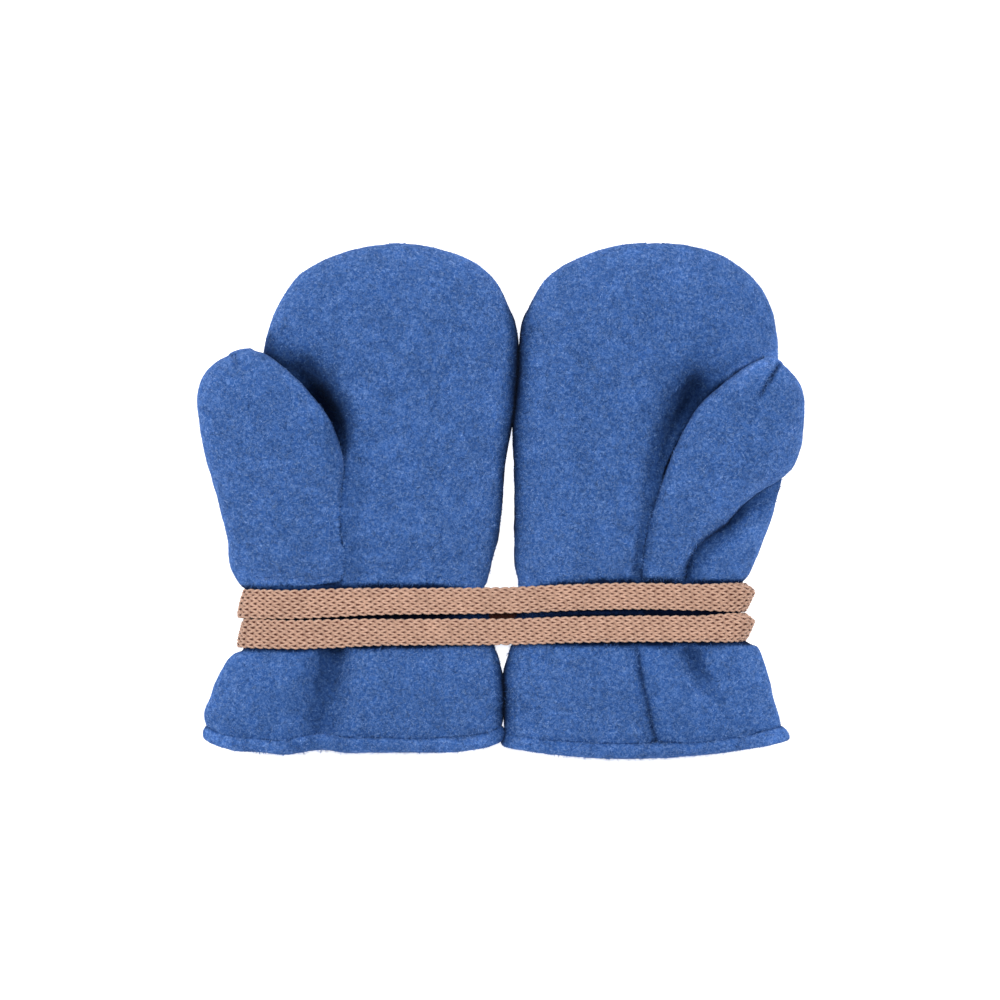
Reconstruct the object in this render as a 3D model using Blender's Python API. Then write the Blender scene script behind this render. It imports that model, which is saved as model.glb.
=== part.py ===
"""A pair of baby mittens in thick wool fleece, laid palms up side by side and bound with their knitted cord.

Metres, +Z up, fingertips towards +Y. The constants and tables are in millimetres.
Each mitten is a hand lobe and a thumb lobe, which are rings worked out from the rows of a table.
The hand lobe is cut into a palm and a back, with the thumb set into both, and a hem edges the cuff.
The cloth's thickness lies inside the lobes. The cord is a flat tube laid twice round both wrists.
"""

import math

import bmesh
import bpy
import numpy as np

WALL = 2.6  # the fleece
SEAM = 0.3  # gap left where two pieces are sewn together
HEM_LENGTH = 3.7  # the turned-up band, along the mitten
HEM_THICK = 4.6  # its folded edge, through the cloth
SEAM_LEVEL = 0.4524  # height of the outline seam, as a share of the lobe's height
LOBE_HEIGHT = 21.0  # over the fingers, where the hand lobe starts to close
CLOSING_ROW = 16  # the row it closes from
ROUND_TOP = 2.35  # superellipse exponents of the hand lobe's upper and lower halves, and of the thumb
ROUND_UNDER = 3.0
ROUND_THUMB = 2.3
FLATTEN = 1.18  # how far the lower half is pressed past the surface it rests on
THUMB_CLEAR = 0.6  # free thumb above the palm
CORD_WIDTH = 7.6
CORD_THICK = 2.2

FIRST_ROW = 0.07  # the panels stop just short of the hem band
EXTRA_ROWS = (12.5, 13.5)  # where the palm's end crosses to the outline
PALM_COLUMNS = 19
BACK_COLUMNS = 23
THUMB_COLUMNS = 24
HEM_COLUMNS = 44
CORD_STEP = 4.2

BLUE = (0.064, 0.141, 0.376, 1.0)
HEM_BLUE = (0.058, 0.130, 0.350, 1.0)
TAN = (0.47, 0.29, 0.215, 1.0)

# Hand lobes, a row per ring from the hem to the fingertips. Where the palm's end is the outline's own x, the
# palm ends at the outline seam, and elsewhere at a seam that runs up the palm to the thumb.
#    y      left   right  top   under palm end
LEFT_HAND = (
    (-65.3, -80.9, -0.1, 15.5, 0.9, -50.2),
    (-60.9, -81.1, 0.2, 16.5, 0.3, -49.4),
    (-56.0, -79.7, 0.4, 17.5, 0.0, -48.3),
    (-51.1, -78.3, 0.3, 17.5, 0.0, -47.2),
    (-46.1, -76.2, 0.0, 16.5, 0.6, -46.4),
    (-42.4, -73.4, -0.5, 15.2, 2.0, -45.4),
    (-40.8, -70.4, -1.2, 14.6, 2.6, -44.7),
    (-31.8, -67.6, -2.7, 14.4, 2.6, -43.1),
    (-24.4, -67.4, -3.8, 14.6, 2.6, -42.8),
    (-22.7, -70.8, -3.1, 15.2, 2.0, -43.9),
    (-17.0, -73.0, -1.8, 17.0, 0.5, -45.3),
    (-11.0, -71.6, -0.3, 18.5, 0.0, -46.7),
    (-2.7, -68.1, 0.8, 19.5, 0.0, -50.0),
    (7.7, -67.0, 1.5, 20.5, 0.0, -57.1),
    (18.7, -66.4, 2.8, 21.0, 0.0, -66.4),
    (30.2, -66.2, 4.0, 21.0, 0.0, -66.2),
    (41.2, -65.1, 4.7, 21.0, 0.0, -65.1),
    (49.4, -63.0, 3.8, 20.6, 0.2, -63.0),
    (55.7, -60.0, 1.6, 19.6, 0.9, -60.0),
    (60.7, -56.4, -1.2, 18.3, 1.9, -56.4),
    (64.5, -51.7, -5.6, 16.8, 3.2, -51.7),
    (67.5, -45.6, -11.4, 15.0, 4.7, -45.6),
    (69.5, -38.4, -18.0, 13.2, 6.3, -38.4),
    (70.6, -32.4, -24.0, 11.2, 8.0, -32.4),
    (70.9, -30.2, -26.4, 9.5, 9.5, -30.2),
)
#    y      left right top   under palm end
RIGHT_HAND = (
    (-67.0, 2.2, 77.7, 15.0, 0.9, 42.8),
    (-61.6, 1.8, 76.0, 16.2, 0.3, 41.5),
    (-56.3, 1.6, 74.7, 17.2, 0.0, 40.4),
    (-51.1, 1.6, 74.2, 17.2, 0.0, 39.3),
    (-46.1, 1.7, 73.0, 16.2, 0.6, 38.4),
    (-40.4, 2.7, 70.8, 15.1, 2.1, 37.6),
    (-38.8, 3.4, 67.4, 14.6, 2.6, 37.6),
    (-31.8, 4.1, 66.2, 14.4, 2.6, 37.9),
    (-23.2, 4.7, 66.4, 14.6, 2.6, 39.8),
    (-20.7, 4.3, 68.2, 15.4, 1.8, 41.7),
    (-17.0, 3.8, 69.9, 17.0, 0.5, 44.5),
    (-11.0, 3.7, 72.3, 18.5, 0.0, 48.0),
    (-2.7, 3.6, 75.3, 19.5, 0.0, 52.2),
    (7.7, 3.4, 77.5, 20.2, 0.0, 65.3),
    (18.7, 3.6, 77.1, 20.6, 0.0, 77.1),
    (30.2, 4.8, 76.9, 20.8, 0.0, 76.9),
    (41.2, 5.4, 76.7, 21.0, 0.0, 76.7),
    (49.4, 6.4, 75.6, 20.6, 0.2, 75.6),
    (55.7, 9.1, 73.3, 19.6, 0.9, 73.3),
    (60.7, 12.2, 70.1, 18.3, 1.9, 70.1),
    (64.5, 17.1, 66.1, 16.8, 3.2, 66.1),
    (67.5, 23.1, 60.8, 15.0, 4.7, 60.8),
    (69.6, 29.6, 54.4, 13.2, 6.3, 54.4),
    (70.7, 36.0, 48.6, 11.2, 8.0, 48.6),
    (71.0, 40.1, 44.5, 9.5, 9.5, 44.5),
)

# Thumb lobes, a row per ring from the base to the tip. The first rows lie inside the hand lobe.
#    left edge x, y, z     right edge x, y, z  half the height
LEFT_THUMB = (
    (-63.0, -30.7, 8.4, -41.8, -30.7, 8.6, 1.9),
    (-69.6, -24.2, 8.6, -40.8, -24.4, 9.6, 3.0),
    (-73.6, -17.6, 9.8, -39.8, -18.7, 11.4, 6.0),
    (-75.3, -8.8, 11.2, -40.6, -9.6, 13.4, 7.0),
    (-77.9, 2.2, 12.2, -41.7, 0.5, 16.0, 7.2),
    (-80.9, 13.2, 13.2, -42.8, 12.4, 19.0, 7.4),
    (-82.7, 22.5, 13.8, -46.7, 22.5, 21.0, 7.3),
    (-82.7, 29.6, 14.0, -52.2, 29.6, 21.4, 6.9),
    (-80.8, 34.7, 14.0, -58.2, 35.7, 20.4, 6.0),
    (-77.5, 37.9, 14.2, -63.7, 39.7, 18.8, 4.5),
    (-74.2, 39.6, 15.0, -67.5, 41.0, 17.0, 2.4),
)
RIGHT_THUMB = (
    (39.8, -30.7, 8.4, 50.0, -30.7, 7.8, 2.0),
    (38.6, -25.0, 9.8, 51.5, -24.4, 8.9, 3.2),
    (37.9, -19.2, 12.6, 52.2, -17.8, 11.0, 4.8),
    (38.7, -10.2, 14.4, 57.9, -9.3, 12.4, 5.4),
    (41.2, -1.9, 16.0, 65.9, -0.8, 13.4, 6.4),
    (45.0, 7.7, 17.8, 77.8, 6.4, 14.0, 7.4),
    (50.0, 18.7, 19.6, 81.9, 13.6, 15.2, 7.7),
    (54.9, 26.4, 20.2, 83.0, 21.6, 16.4, 7.4),
    (60.9, 31.8, 20.2, 82.9, 28.3, 17.2, 6.6),
    (67.0, 36.5, 19.6, 80.8, 33.3, 17.6, 5.0),
    (71.9, 38.8, 18.8, 77.2, 37.0, 18.0, 2.6),
)
THUMB_FREE = (3.6, 5.6)  # thumb rows between which it leaves the palm
TIP_REACH = 1.0  # last row to the tip

# Troughs pressed into the palm side, a line of rows per trough.
#    x      y     depth half-width
LEFT_FOLDS = (
    ((-46.4, -42.5, 4.4, 4.8), (-48.2, -54.9, 3.6, 5.8), (-50.0, -65.3, 3.2, 6.0), (-50.5, -71.4, 3.0, 6.0)),
    (
        (-54.5, 33.5, 4.0, 4.6), (-49.0, 27.5, 5.6, 5.0), (-44.6, 21.0, 5.2, 4.4),
        (-42.4, 14.5, 2.8, 3.4), (-42.0, 5.5, 1.1, 3.0), (-41.2, -5.5, 0.9, 3.0), (-39.8, -24.2, 1.3, 3.0),
    ),
)
RIGHT_FOLDS = (
    ((51.6, -41.5, 2.6, 3.0), (53.3, -46.0, 2.8, 3.2), (57.1, -52.0, 2.2, 3.2), (61.3, -57.0, 0.8, 3.0)),
    (
        (82.4, 8.4, 2.8, 3.6), (74.1, 3.0, 3.4, 3.6), (65.9, -2.0, 3.6, 3.6),
        (58.7, -9.5, 3.6, 3.6), (52.7, -17.3, 3.6, 3.4), (51.6, -24.7, 3.2, 3.2),
    ),
    (
        (58.5, 33.0, 1.6, 4.0), (54.5, 29.5, 4.6, 5.0), (51.0, 24.5, 5.6, 5.6), (47.2, 17.5, 4.4, 5.0),
        (44.0, 9.5, 2.8, 4.0), (41.2, 2.0, 1.9, 3.2), (38.4, -9.0, 1.2, 2.4), (37.8, -27.0, 1.2, 2.4),
    ),
)

# How the cuff's edge bows along the mitten: factors of the place across, and of its second and eighth power.
LEFT_BOW = (0.0, -0.3, 3.4)
RIGHT_BOW = (0.8, 3.2, 0.6)

# The cord's route in plan (x, y): the two bands over the top, the pass below, and both sewn ends.
CORD_UPPER = (
    (-71, -28.4), (-58, -28.7), (-48, -28.2), (-38, -27.8), (-8, -27.6),
    (7, -27.3), (17, -26.7), (36, -26.2), (56, -26.7), (71, -26.6),
)
CORD_LOWER = (
    (-71, -36.5), (-58, -36.9), (-48, -36.7), (-38, -36.2), (-8, -36.1),
    (7, -36.0), (17, -35.5), (36, -35.2), (56, -35.3), (71, -34.6),
)
CORD_BELOW = ((-71, -36.5), (71, -26.6))
CORD_START = ((-71, -28.4), (-55, -26.2))
CORD_FINISH = ((55, -36.6), (71, -34.6))

PARTS = ("hand", "thumb", "folds", "bow", "thumb_side")
MITTENS = {
    "left": dict(zip(PARTS, (LEFT_HAND, LEFT_THUMB, LEFT_FOLDS, LEFT_BOW, -1))),
    "right": dict(zip(PARTS, (RIGHT_HAND, RIGHT_THUMB, RIGHT_FOLDS, RIGHT_BOW, 1))),
}


def rows_at(table, r):
    """The table's columns at the row numbers r, whole or not, by a Catmull-Rom curve through its rows."""
    rows = np.asarray(table, float)
    rows = np.vstack([2 * rows[0] - rows[1], rows, 2 * rows[-1] - rows[-2]])
    r = np.clip(np.asarray(r, float), 0, len(table) - 1)
    i = np.minimum(r.astype(int), len(table) - 2)
    t = (r - i)[..., None]
    a, b, c, d = (rows[i + k] for k in range(4))
    curve = 2 * b + (c - a) * t + (2 * a - 5 * b + 4 * c - d) * t**2
    curve += (3 * b - a - 3 * c + d) * t**3
    return np.moveaxis(curve / 2, -1, 0)


def power(value, exponent):
    return np.sign(value) * np.abs(value) ** exponent


def smooth(value, low, high):
    t = np.clip((value - low) / (high - low), 0, 1)
    return t * t * (3 - 2 * t)


def lower_of(a, b, soft):
    """The smaller of two heights, rounded over where they meet."""
    h = np.clip(0.5 + 0.5 * (b - a) / soft, 0, 1)
    return b * (1 - h) + a * h - soft * h * (1 - h)


def trough(x, y, line):
    """How deep a trough lies under places in plan, from its rows of x, y, depth and half-width."""
    nearest, deep, wide = np.full(np.shape(x), np.inf), 0.0, 1.0
    for start, end in zip(np.array(line), np.array(line)[1:]):
        dx, dy = end[:2] - start[:2]
        t = np.clip(((x - start[0]) * dx + (y - start[1]) * dy) / (dx * dx + dy * dy), 0, 1)
        far = np.hypot(x - start[0] - t * dx, y - start[1] - t * dy)
        deep = np.where(far < nearest, start[2] + t * (end[2] - start[2]), deep)
        wide = np.where(far < nearest, start[3] + t * (end[3] - start[3]), wide)
        nearest = np.minimum(far, nearest)
    return deep * np.exp(-((nearest / wide) ** 2))


def under_thumb(mitten, x, y, natural):
    """The palm's highest level where the thumb lies over it or grows out of it."""
    t = np.linspace(1.0, len(mitten["thumb"]) - 1, 73)
    lx, ly, lz, rx, ry, rz, half = rows_at(mitten["thumb"], t)
    cx, cy, wx, wy = (lx + rx) / 2, (ly + ry) / 2, (rx - lx) / 2, (ry - ly) / 2
    side = wx * (y[..., None] - cy) - wy * (x[..., None] - cx)
    i = np.clip((side > 0).sum(-1) - 1, 0, len(t) - 2)
    s0, s1 = (np.take_along_axis(side, k[..., None], -1)[..., 0] for k in (i, i + 1))
    part = np.clip(s0 / np.where(s0 == s1, 1.0, s0 - s1), 0, 1)
    row = t[i] + part * (t[1] - t[0])
    beyond = np.where(side[..., -1] > 0, side[..., -1] / np.hypot(wx[-1], wy[-1]), 0.0)
    lx, ly, lz, rx, ry, rz, half = rows_at(mitten["thumb"], row)
    wx, wy = (rx - lx) / 2, (ry - ly) / 2
    e = ((x - (lx + rx) / 2) * wx + (y - (ly + ry) / 2) * wy) / (wx * wx + wy * wy)
    level = (lz + rz) / 2 + np.clip(e, -1, 1) * (rz - lz) / 2
    lens = half * (1 - np.minimum(np.abs(e), 1) ** ROUND_THUMB) ** (1 / ROUND_THUMB)
    out = np.maximum(np.abs(e) - 1, 0) * np.hypot(wx, wy)
    free = level - lens - THUMB_CLEAR + 1.6 * out + 2.0 * beyond
    grown = level + 0.35 * lens + 6.0 * smooth(np.abs(e), 0.72, 1.0) + 3.0 * out
    starts = smooth(side[..., 0], 0.0, 40.0)
    limit = grown + (free - grown) * smooth(row, *THUMB_FREE)
    limit = natural + (limit - natural) * starts
    return lower_of(natural, limit, 1.2)


def hand_point(mitten, u, r, inset=0.0):
    """The hand lobe's surface, set in by inset. u turns from the right edge over the palm, r is a row."""
    u, r = np.broadcast_arrays(np.asarray(u, float), np.asarray(r, float))
    y, left, right, top, under, _ = rows_at(mitten["hand"], r)
    tall = np.where(r > CLOSING_ROW, np.clip((top - under) / LOBE_HEIGHT, 0, 1), 1.0)
    left, right = left + inset * tall**1.4, right - inset * tall**1.4
    y = y - inset * np.sqrt(1 - tall**2)
    top, under = top - inset * tall, under + inset * tall
    half, level = (right - left) / 2, under + SEAM_LEVEL * (top - under)
    upper = np.sin(u) >= 0
    across = power(np.cos(u), 2 / np.where(upper, ROUND_TOP, ROUND_UNDER))
    x = (left + right) / 2 + half * across
    up = level + (top - level) * np.abs(np.sin(u)) ** (2 / ROUND_TOP)
    down = level - FLATTEN * (level - under) * np.abs(np.sin(u)) ** (2 / ROUND_UNDER)
    z = np.where(upper, up, np.maximum(down, under))
    a, b, c = mitten["bow"]
    y = y + (a * across + b * across**2 + c * across**8) * (1 - smooth(r, 0.0, 4.0))
    ceiling = level + (top - level) * (1 - np.abs(across) ** ROUND_TOP) ** (1 / ROUND_TOP)
    pressed = ceiling
    for line in mitten["folds"]:
        pressed = pressed - trough(x, y, line) * smooth(ceiling - level, 0.0, 4.0)
    pressed = under_thumb(mitten, x, y, pressed + inset) - inset
    z = under + (z - under) * (pressed - under) / np.maximum(ceiling - under, 0.2)
    return np.stack([x, y, z], -1)


def thumb_point(mitten, v, t, inset=0.0):
    """The thumb lobe's surface, likewise. v goes round as u does, and t past the last row runs to the tip."""
    v, t = np.broadcast_arrays(np.asarray(v, float), np.asarray(t, float))
    last = len(mitten["thumb"]) - 1
    past = np.clip(t - last, 0, 1)
    lx, ly, lz, rx, ry, rz, half = rows_at(mitten["thumb"], t)
    left, right = np.stack([lx, ly, lz], -1), np.stack([rx, ry, rz], -1)
    inset = np.minimum(inset, 0.6 * half)
    half = half - inset
    narrower = 1 - 2 * inset / np.linalg.norm(right - left, axis=-1)
    ends = rows_at(mitten["thumb"], np.array([last - 1.0, last]))
    ahead = np.diff((ends[0:3] + ends[3:6]) / 2, axis=1)[:, 0]
    ahead /= np.linalg.norm(ahead)
    shrink = np.sqrt(1 - past**2)[..., None]
    across = power(np.cos(v), 2 / ROUND_THUMB)[..., None] * shrink
    rise = power(np.sin(v), 2 / ROUND_THUMB)[..., None] * shrink * half[..., None]
    wide = (right - left) / 2 * narrower[..., None] * across
    reach = ahead * TIP_REACH * past[..., None]
    return (left + right) / 2 + wide + rise * np.array([0, 0, 1.0]) + reach


def evenly(mitten, r, start, end, count):
    """Angles from start to end that stand evenly along the hand lobe's row r."""
    u = np.linspace(start, end, 241)
    places = hand_point(mitten, u, np.full(u.shape, float(r)))
    far = np.concatenate([[0], np.cumsum(np.linalg.norm(np.diff(places, axis=0), axis=1))])
    return np.interp(np.linspace(0, far[-1], count), far, u)


def palm_end(mitten, r):
    """The angle at which the palm ends on the thumb side in row r."""
    _, left, right, _, _, place = rows_at(mitten["hand"], r)
    share = np.clip((place - (left + right) / 2) / ((right - left) / 2), -1, 1)
    return math.acos(float(power(share, ROUND_TOP / 2)))


def panel(mitten, side, columns, rows):
    """Outer and inner points of the palm or the back, set back by half a seam gap all round."""
    outer, inner = [], []
    for r in rows:
        edge = palm_end(mitten, r)
        if side == "palm":
            start, end = (edge, math.pi) if mitten["thumb_side"] > 0 else (0.0, edge)
        else:
            start, end = (math.pi, 2 * math.pi + edge) if mitten["thumb_side"] > 0 else (edge, 2 * math.pi)
        u = evenly(mitten, r, start, end, columns)
        place = hand_point(mitten, u, np.full(u.shape, float(r)))
        inside = hand_point(mitten, u, np.full(u.shape, float(r)), WALL)
        for edge_column, near in ((0, 0.02), (-1, -0.02)):
            nudge = hand_point(mitten, u[edge_column] + near, float(r)) - place[edge_column]
            nudge *= SEAM / 2 / max(np.linalg.norm(nudge), 1e-9)
            place[edge_column] += nudge
            inside[edge_column] += nudge
        outer.append(place)
        inner.append(inside)
    lift = np.array([0, 0, SEAM / 2 if side == "palm" else -SEAM / 2])
    outer[-1] += lift
    inner[-1] += lift
    return np.array(outer), np.array(inner)


def mesh_object(name, points, faces, colour, roughness):
    """An object from millimetre points. A cutter has no colour and stays out of the render."""
    mesh = bpy.data.meshes.new(name)
    mesh.from_pydata((np.asarray(points) * 0.001).tolist(), [], faces)
    work = bmesh.new()
    work.from_mesh(mesh)
    bmesh.ops.triangulate(work, faces=work.faces)
    bmesh.ops.recalc_face_normals(work, faces=work.faces)
    for face in work.faces:
        face.smooth = True
    work.to_mesh(mesh)
    work.free()
    obj = bpy.data.objects.new(name, mesh)
    bpy.context.scene.collection.objects.link(obj)
    if colour is None:
        obj.hide_render = True
        obj.display_type = "WIRE"
        return obj
    material = bpy.data.materials.new(name)
    material.use_nodes = True
    shader = material.node_tree.nodes["Principled BSDF"]
    shader.inputs["Base Color"].default_value = colour
    shader.inputs["Roughness"].default_value = roughness
    shader.inputs["Metallic"].default_value = 0.0
    mesh.materials.append(material)
    return obj


def grid_faces(rows, columns, first=0, closed=False, turned=False):
    """Quads of a grid whose points start at number first."""
    faces = []
    for i in range(rows - 1):
        for j in range(columns if closed else columns - 1):
            k = (j + 1) % columns
            here, ahead = first + i * columns, first + (i + 1) * columns
            quad = [here + j, here + k, ahead + k, ahead + j]
            faces.append(quad[::-1] if turned else quad)
    return faces


def walled(name, outer, inner, colour, roughness):
    """A closed sheet of cloth from its outer and inner grids."""
    rows, columns = outer.shape[:2]
    size = rows * columns
    faces = grid_faces(rows, columns) + grid_faces(rows, columns, size, turned=True)
    rim = [i * columns for i in range(rows)] + [size - columns + j for j in range(1, columns)]
    rim += [i * columns + columns - 1 for i in range(rows - 2, -1, -1)] + list(range(columns - 2, 0, -1))
    for a, b in zip(rim, rim[1:] + rim[:1]):
        faces.append([a, b, size + b, size + a])
    points = np.concatenate([outer.reshape(-1, 3), inner.reshape(-1, 3)])
    return mesh_object(name, points, faces, colour, roughness)


def capped(rings, tip=None):
    """Points and faces of a stack of rings, closed by a fan at both ends, at the tip if one is given."""
    rings = np.asarray(rings)
    count, columns = rings.shape[:2]
    end = rings[-1].mean(0) if tip is None else tip
    points = np.concatenate([rings.reshape(-1, 3), [rings[0].mean(0)], [end]])
    faces = grid_faces(count, columns, closed=True)
    for j in range(columns):
        k = (j + 1) % columns
        faces.append([k, j, count * columns])
        faces.append([(count - 1) * columns + j, (count - 1) * columns + k, count * columns + 1])
    return points, faces


def thumb_rings(mitten, rows, inset):
    """Rings of the thumb lobe at the given rows, each set in by its own inset."""
    v = np.linspace(0, 2 * math.pi, THUMB_COLUMNS, endpoint=False) + math.pi / THUMB_COLUMNS
    return np.array([thumb_point(mitten, v, np.full(v.shape, float(t)), by) for t, by in zip(rows, inset)])


def thumb_parts(side, mitten):
    """The thumb's walled tube, open at its base, and the solid that cuts its opening in the hand lobe."""
    last = len(mitten["thumb"]) - 1
    rows = list(range(last + 1)) + [last + 0.6]
    outer = thumb_rings(mitten, rows, [0.0] * len(rows))
    inner = thumb_rings(mitten, list(range(last - 1)) + [last - 1.3], [WALL] * (last - 1) + [WALL * 1.3])
    tip = thumb_point(mitten, 0.0, last + 1.0)
    columns = outer.shape[1]
    size, most = outer.shape[0] * columns, inner.shape[0] * columns
    points = np.concatenate([outer.reshape(-1, 3), [tip], inner.reshape(-1, 3), [inner[-1].mean(0)]])
    faces = grid_faces(outer.shape[0], columns, closed=True)
    faces += grid_faces(inner.shape[0], columns, size + 1, closed=True, turned=True)
    for j in range(columns):
        k = (j + 1) % columns
        faces.append([size - columns + j, size - columns + k, size])
        faces.append([size + 1 + most - columns + k, size + 1 + most - columns + j, size + 1 + most])
        faces.append([k, j, size + 1 + j, size + 1 + k])
    thumb = mesh_object(f"{side}_thumb", points, faces, BLUE, 0.95)
    grown = thumb_rings(mitten, rows, [-SEAM] * len(rows))
    ahead = (tip - outer[-1].mean(0)) / np.linalg.norm(tip - outer[-1].mean(0))
    cutter = mesh_object(f"{side}_thumb_opening", *capped(grown, tip + SEAM * ahead), None, 1.0)
    return thumb, cutter


def hand_hollow(side, mitten):
    """The space inside the hand lobe, from the wrist to past the thumb."""
    rings = []
    for r in np.arange(6.6, 18.5, 0.7):
        u = evenly(mitten, r, 0.0, 2 * math.pi, 41)[:-1]
        rings.append(hand_point(mitten, u, np.full(u.shape, r), WALL))
    return mesh_object(f"{side}_hollow", *capped(rings), None, 1.0)


def hem(side, mitten):
    """The turned-up band: a thick rounded section carried round the cuff's edge."""
    u = evenly(mitten, 0.0, 0.0, 2 * math.pi, HEM_COLUMNS + 1)[:-1]
    row = np.zeros(u.shape)
    proud = (HEM_THICK - WALL) / 2
    outside, inside = hand_point(mitten, u, row, -proud), hand_point(mitten, u, row, WALL + proud)
    out = hand_point(mitten, u, row, WALL / 2) - hand_point(mitten, u, row + 0.1, WALL / 2)
    out /= np.linalg.norm(out, axis=1, keepdims=True)
    through = (outside - inside) / 2
    centre = (outside + inside) / 2 + out * (SEAM + HEM_LENGTH / 2)
    angles = np.linspace(0, 2 * math.pi, 8, endpoint=False) + math.pi / 8
    rings = []
    for angle in angles:
        thick = power(math.cos(angle), 0.75)
        long_ = power(math.sin(angle), 0.75) * HEM_LENGTH / 2
        rings.append(centre + through * thick + out * long_)
    points = np.stack(rings, 1)
    points[..., 2] = np.maximum(points[..., 2], 0.0)
    count, columns = points.shape[:2]
    faces = []
    for i in range(count):
        for j in range(columns):
            a, b = (i + 1) % count, (j + 1) % columns
            faces.append([i * columns + j, i * columns + b, a * columns + b, a * columns + j])
    return mesh_object(f"{side}_hem", points.reshape(-1, 3), faces, HEM_BLUE, 0.95)


def outline_of(points):
    """The convex outline of (x, z) points, anticlockwise."""
    points = sorted(set(map(tuple, np.round(points, 3))))

    def half(seq):
        chain = []
        for p in seq:
            while len(chain) > 1:
                (ax, az), (bx, bz) = chain[-2], chain[-1]
                if (bx - ax) * (p[1] - az) - (bz - az) * (p[0] - ax) > 0:
                    break
                chain.pop()
            chain.append(p)
        return chain[:-1]

    return np.array(half(points) + half(points[::-1]))


def cord_track():
    """The line (x, z) that the cord's middle follows round both wrists, from the left end over the top."""
    wrists = []
    for mitten in MITTENS.values():
        for r in np.linspace(6.0, 8.05, 9):
            u = np.linspace(0, 2 * math.pi, 121)
            wrists.append(hand_point(mitten, u, np.full(u.shape, r))[:, [0, 2]])
    hull = outline_of(np.concatenate(wrists))
    away = SEAM + CORD_THICK / 2
    edges = np.roll(hull, -1, 0) - hull
    outward = np.stack([edges[:, 1], -edges[:, 0]], 1) / np.linalg.norm(edges, axis=1, keepdims=True)
    track = []
    for point, before, after in zip(hull, np.roll(outward, 1, 0), outward):
        mid = before + after
        mid /= np.linalg.norm(mid)
        track += [point + away * before, point + away * mid, point + away * after]
    track = np.array(track)[::-1]
    return np.roll(track, -int(track[:, 0].argmin()), 0)


def cord_path():
    """The cord's middle line, from the end sewn below the left mitten to the one below the right mitten."""
    track = cord_track()
    closed = np.vstack([track, track[:1]])
    length = np.concatenate([[0], np.cumsum(np.linalg.norm(np.diff(closed, axis=0), axis=1))])
    right, whole = length[int(closed[:, 0].argmax())], length[-1]
    start, finish = CORD_START[1][0] - closed[0, 0], closed[:, 0].max() - CORD_FINISH[0][0]
    legs = (
        (-start - 3.5, 0.0, CORD_START),
        (0.0, right, CORD_UPPER),
        (right, whole, CORD_BELOW),
        (whole, whole + right, CORD_LOWER),
        (whole + right, whole + right + finish + 3.5, CORD_FINISH),
    )
    path = []
    for begin, end, places in legs:
        steps = max(3, round((end - begin) / CORD_STEP))
        places = np.array(places, float)
        for s in np.linspace(begin, end, steps, endpoint=False):
            x, z = (np.interp(s % whole, length, closed[:, k]) for k in (0, 1))
            path.append((x, np.interp(x, places[:, 0], places[:, 1]), z))
    return np.array(path)


def cord():
    """The cord as one flat tube along its path, closed at both ends."""
    path = cord_path()
    path[1:-1, 1] = (path[:-2, 1] + 2 * path[1:-1, 1] + path[2:, 1]) / 4
    ahead = np.gradient(path, axis=0)
    ahead /= np.linalg.norm(ahead, axis=1, keepdims=True)
    wide = np.array([0, 1.0, 0]) - ahead * ahead[:, 1:2]
    wide /= np.linalg.norm(wide, axis=1, keepdims=True)
    thick = np.cross(ahead, wide)
    rings = []
    for angle in np.linspace(0, 2 * math.pi, 8, endpoint=False) + math.pi / 8:
        across = power(math.cos(angle), 0.7) * CORD_WIDTH / 2
        deep = power(math.sin(angle), 0.7) * CORD_THICK / 2
        rings.append(path + (wide * across + thick * deep) / math.cos(math.pi / 8) ** 0.7)
    return mesh_object("cord", *capped(np.stack(rings, 1)), TAN, 0.85)


def subtract(obj, cutter):
    """Cuts one object out of another with a modifier."""
    cut = obj.modifiers.new(cutter.name, "BOOLEAN")
    cut.operation = "DIFFERENCE"
    cut.solver = "EXACT"
    cut.object = cutter


def build():
    for obj in list(bpy.data.objects):
        bpy.data.objects.remove(obj, do_unlink=True)
    for side, mitten in MITTENS.items():
        rows = sorted([FIRST_ROW, *range(1, len(mitten["hand"])), *EXTRA_ROWS])
        palm = walled(f"{side}_palm", *panel(mitten, "palm", PALM_COLUMNS, rows), BLUE, 0.95)
        back = walled(f"{side}_back", *panel(mitten, "back", BACK_COLUMNS, rows), BLUE, 0.95)
        thumb, opening = thumb_parts(side, mitten)
        subtract(palm, opening)
        subtract(back, opening)
        subtract(thumb, hand_hollow(side, mitten))
        hem(side, mitten)
    cord()


build()
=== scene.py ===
"""A pair of baby mittens in thick wool fleece, laid palms up side by side and bound with their knitted cord.

The frame is in metres and the tables below are in millimetres. The lobes' shapes are those of the solids,
drawn with many more points, and then pressed, puckered and napped.
"""

import math

import bmesh
import bpy
import numpy as np
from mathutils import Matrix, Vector
from mathutils.bvhtree import BVHTree
from mathutils.kdtree import KDTree


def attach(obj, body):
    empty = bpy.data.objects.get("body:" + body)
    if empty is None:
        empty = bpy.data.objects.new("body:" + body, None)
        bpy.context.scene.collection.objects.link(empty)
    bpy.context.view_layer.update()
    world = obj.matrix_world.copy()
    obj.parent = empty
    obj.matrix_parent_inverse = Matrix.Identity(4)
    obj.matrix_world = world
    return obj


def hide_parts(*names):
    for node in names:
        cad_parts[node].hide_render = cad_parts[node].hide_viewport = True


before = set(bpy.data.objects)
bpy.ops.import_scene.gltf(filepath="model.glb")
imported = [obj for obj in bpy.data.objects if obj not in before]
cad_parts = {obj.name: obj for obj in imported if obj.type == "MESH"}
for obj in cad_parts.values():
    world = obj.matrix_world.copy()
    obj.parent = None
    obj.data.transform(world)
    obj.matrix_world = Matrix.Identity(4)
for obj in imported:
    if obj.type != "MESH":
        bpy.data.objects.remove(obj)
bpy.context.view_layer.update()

WALL = 2.6  # the fleece's thickness
SEAM = 0.3  # gap left where two pieces are sewn together
HEM_LENGTH = 3.7  # the turned-up band, along the mitten
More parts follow.
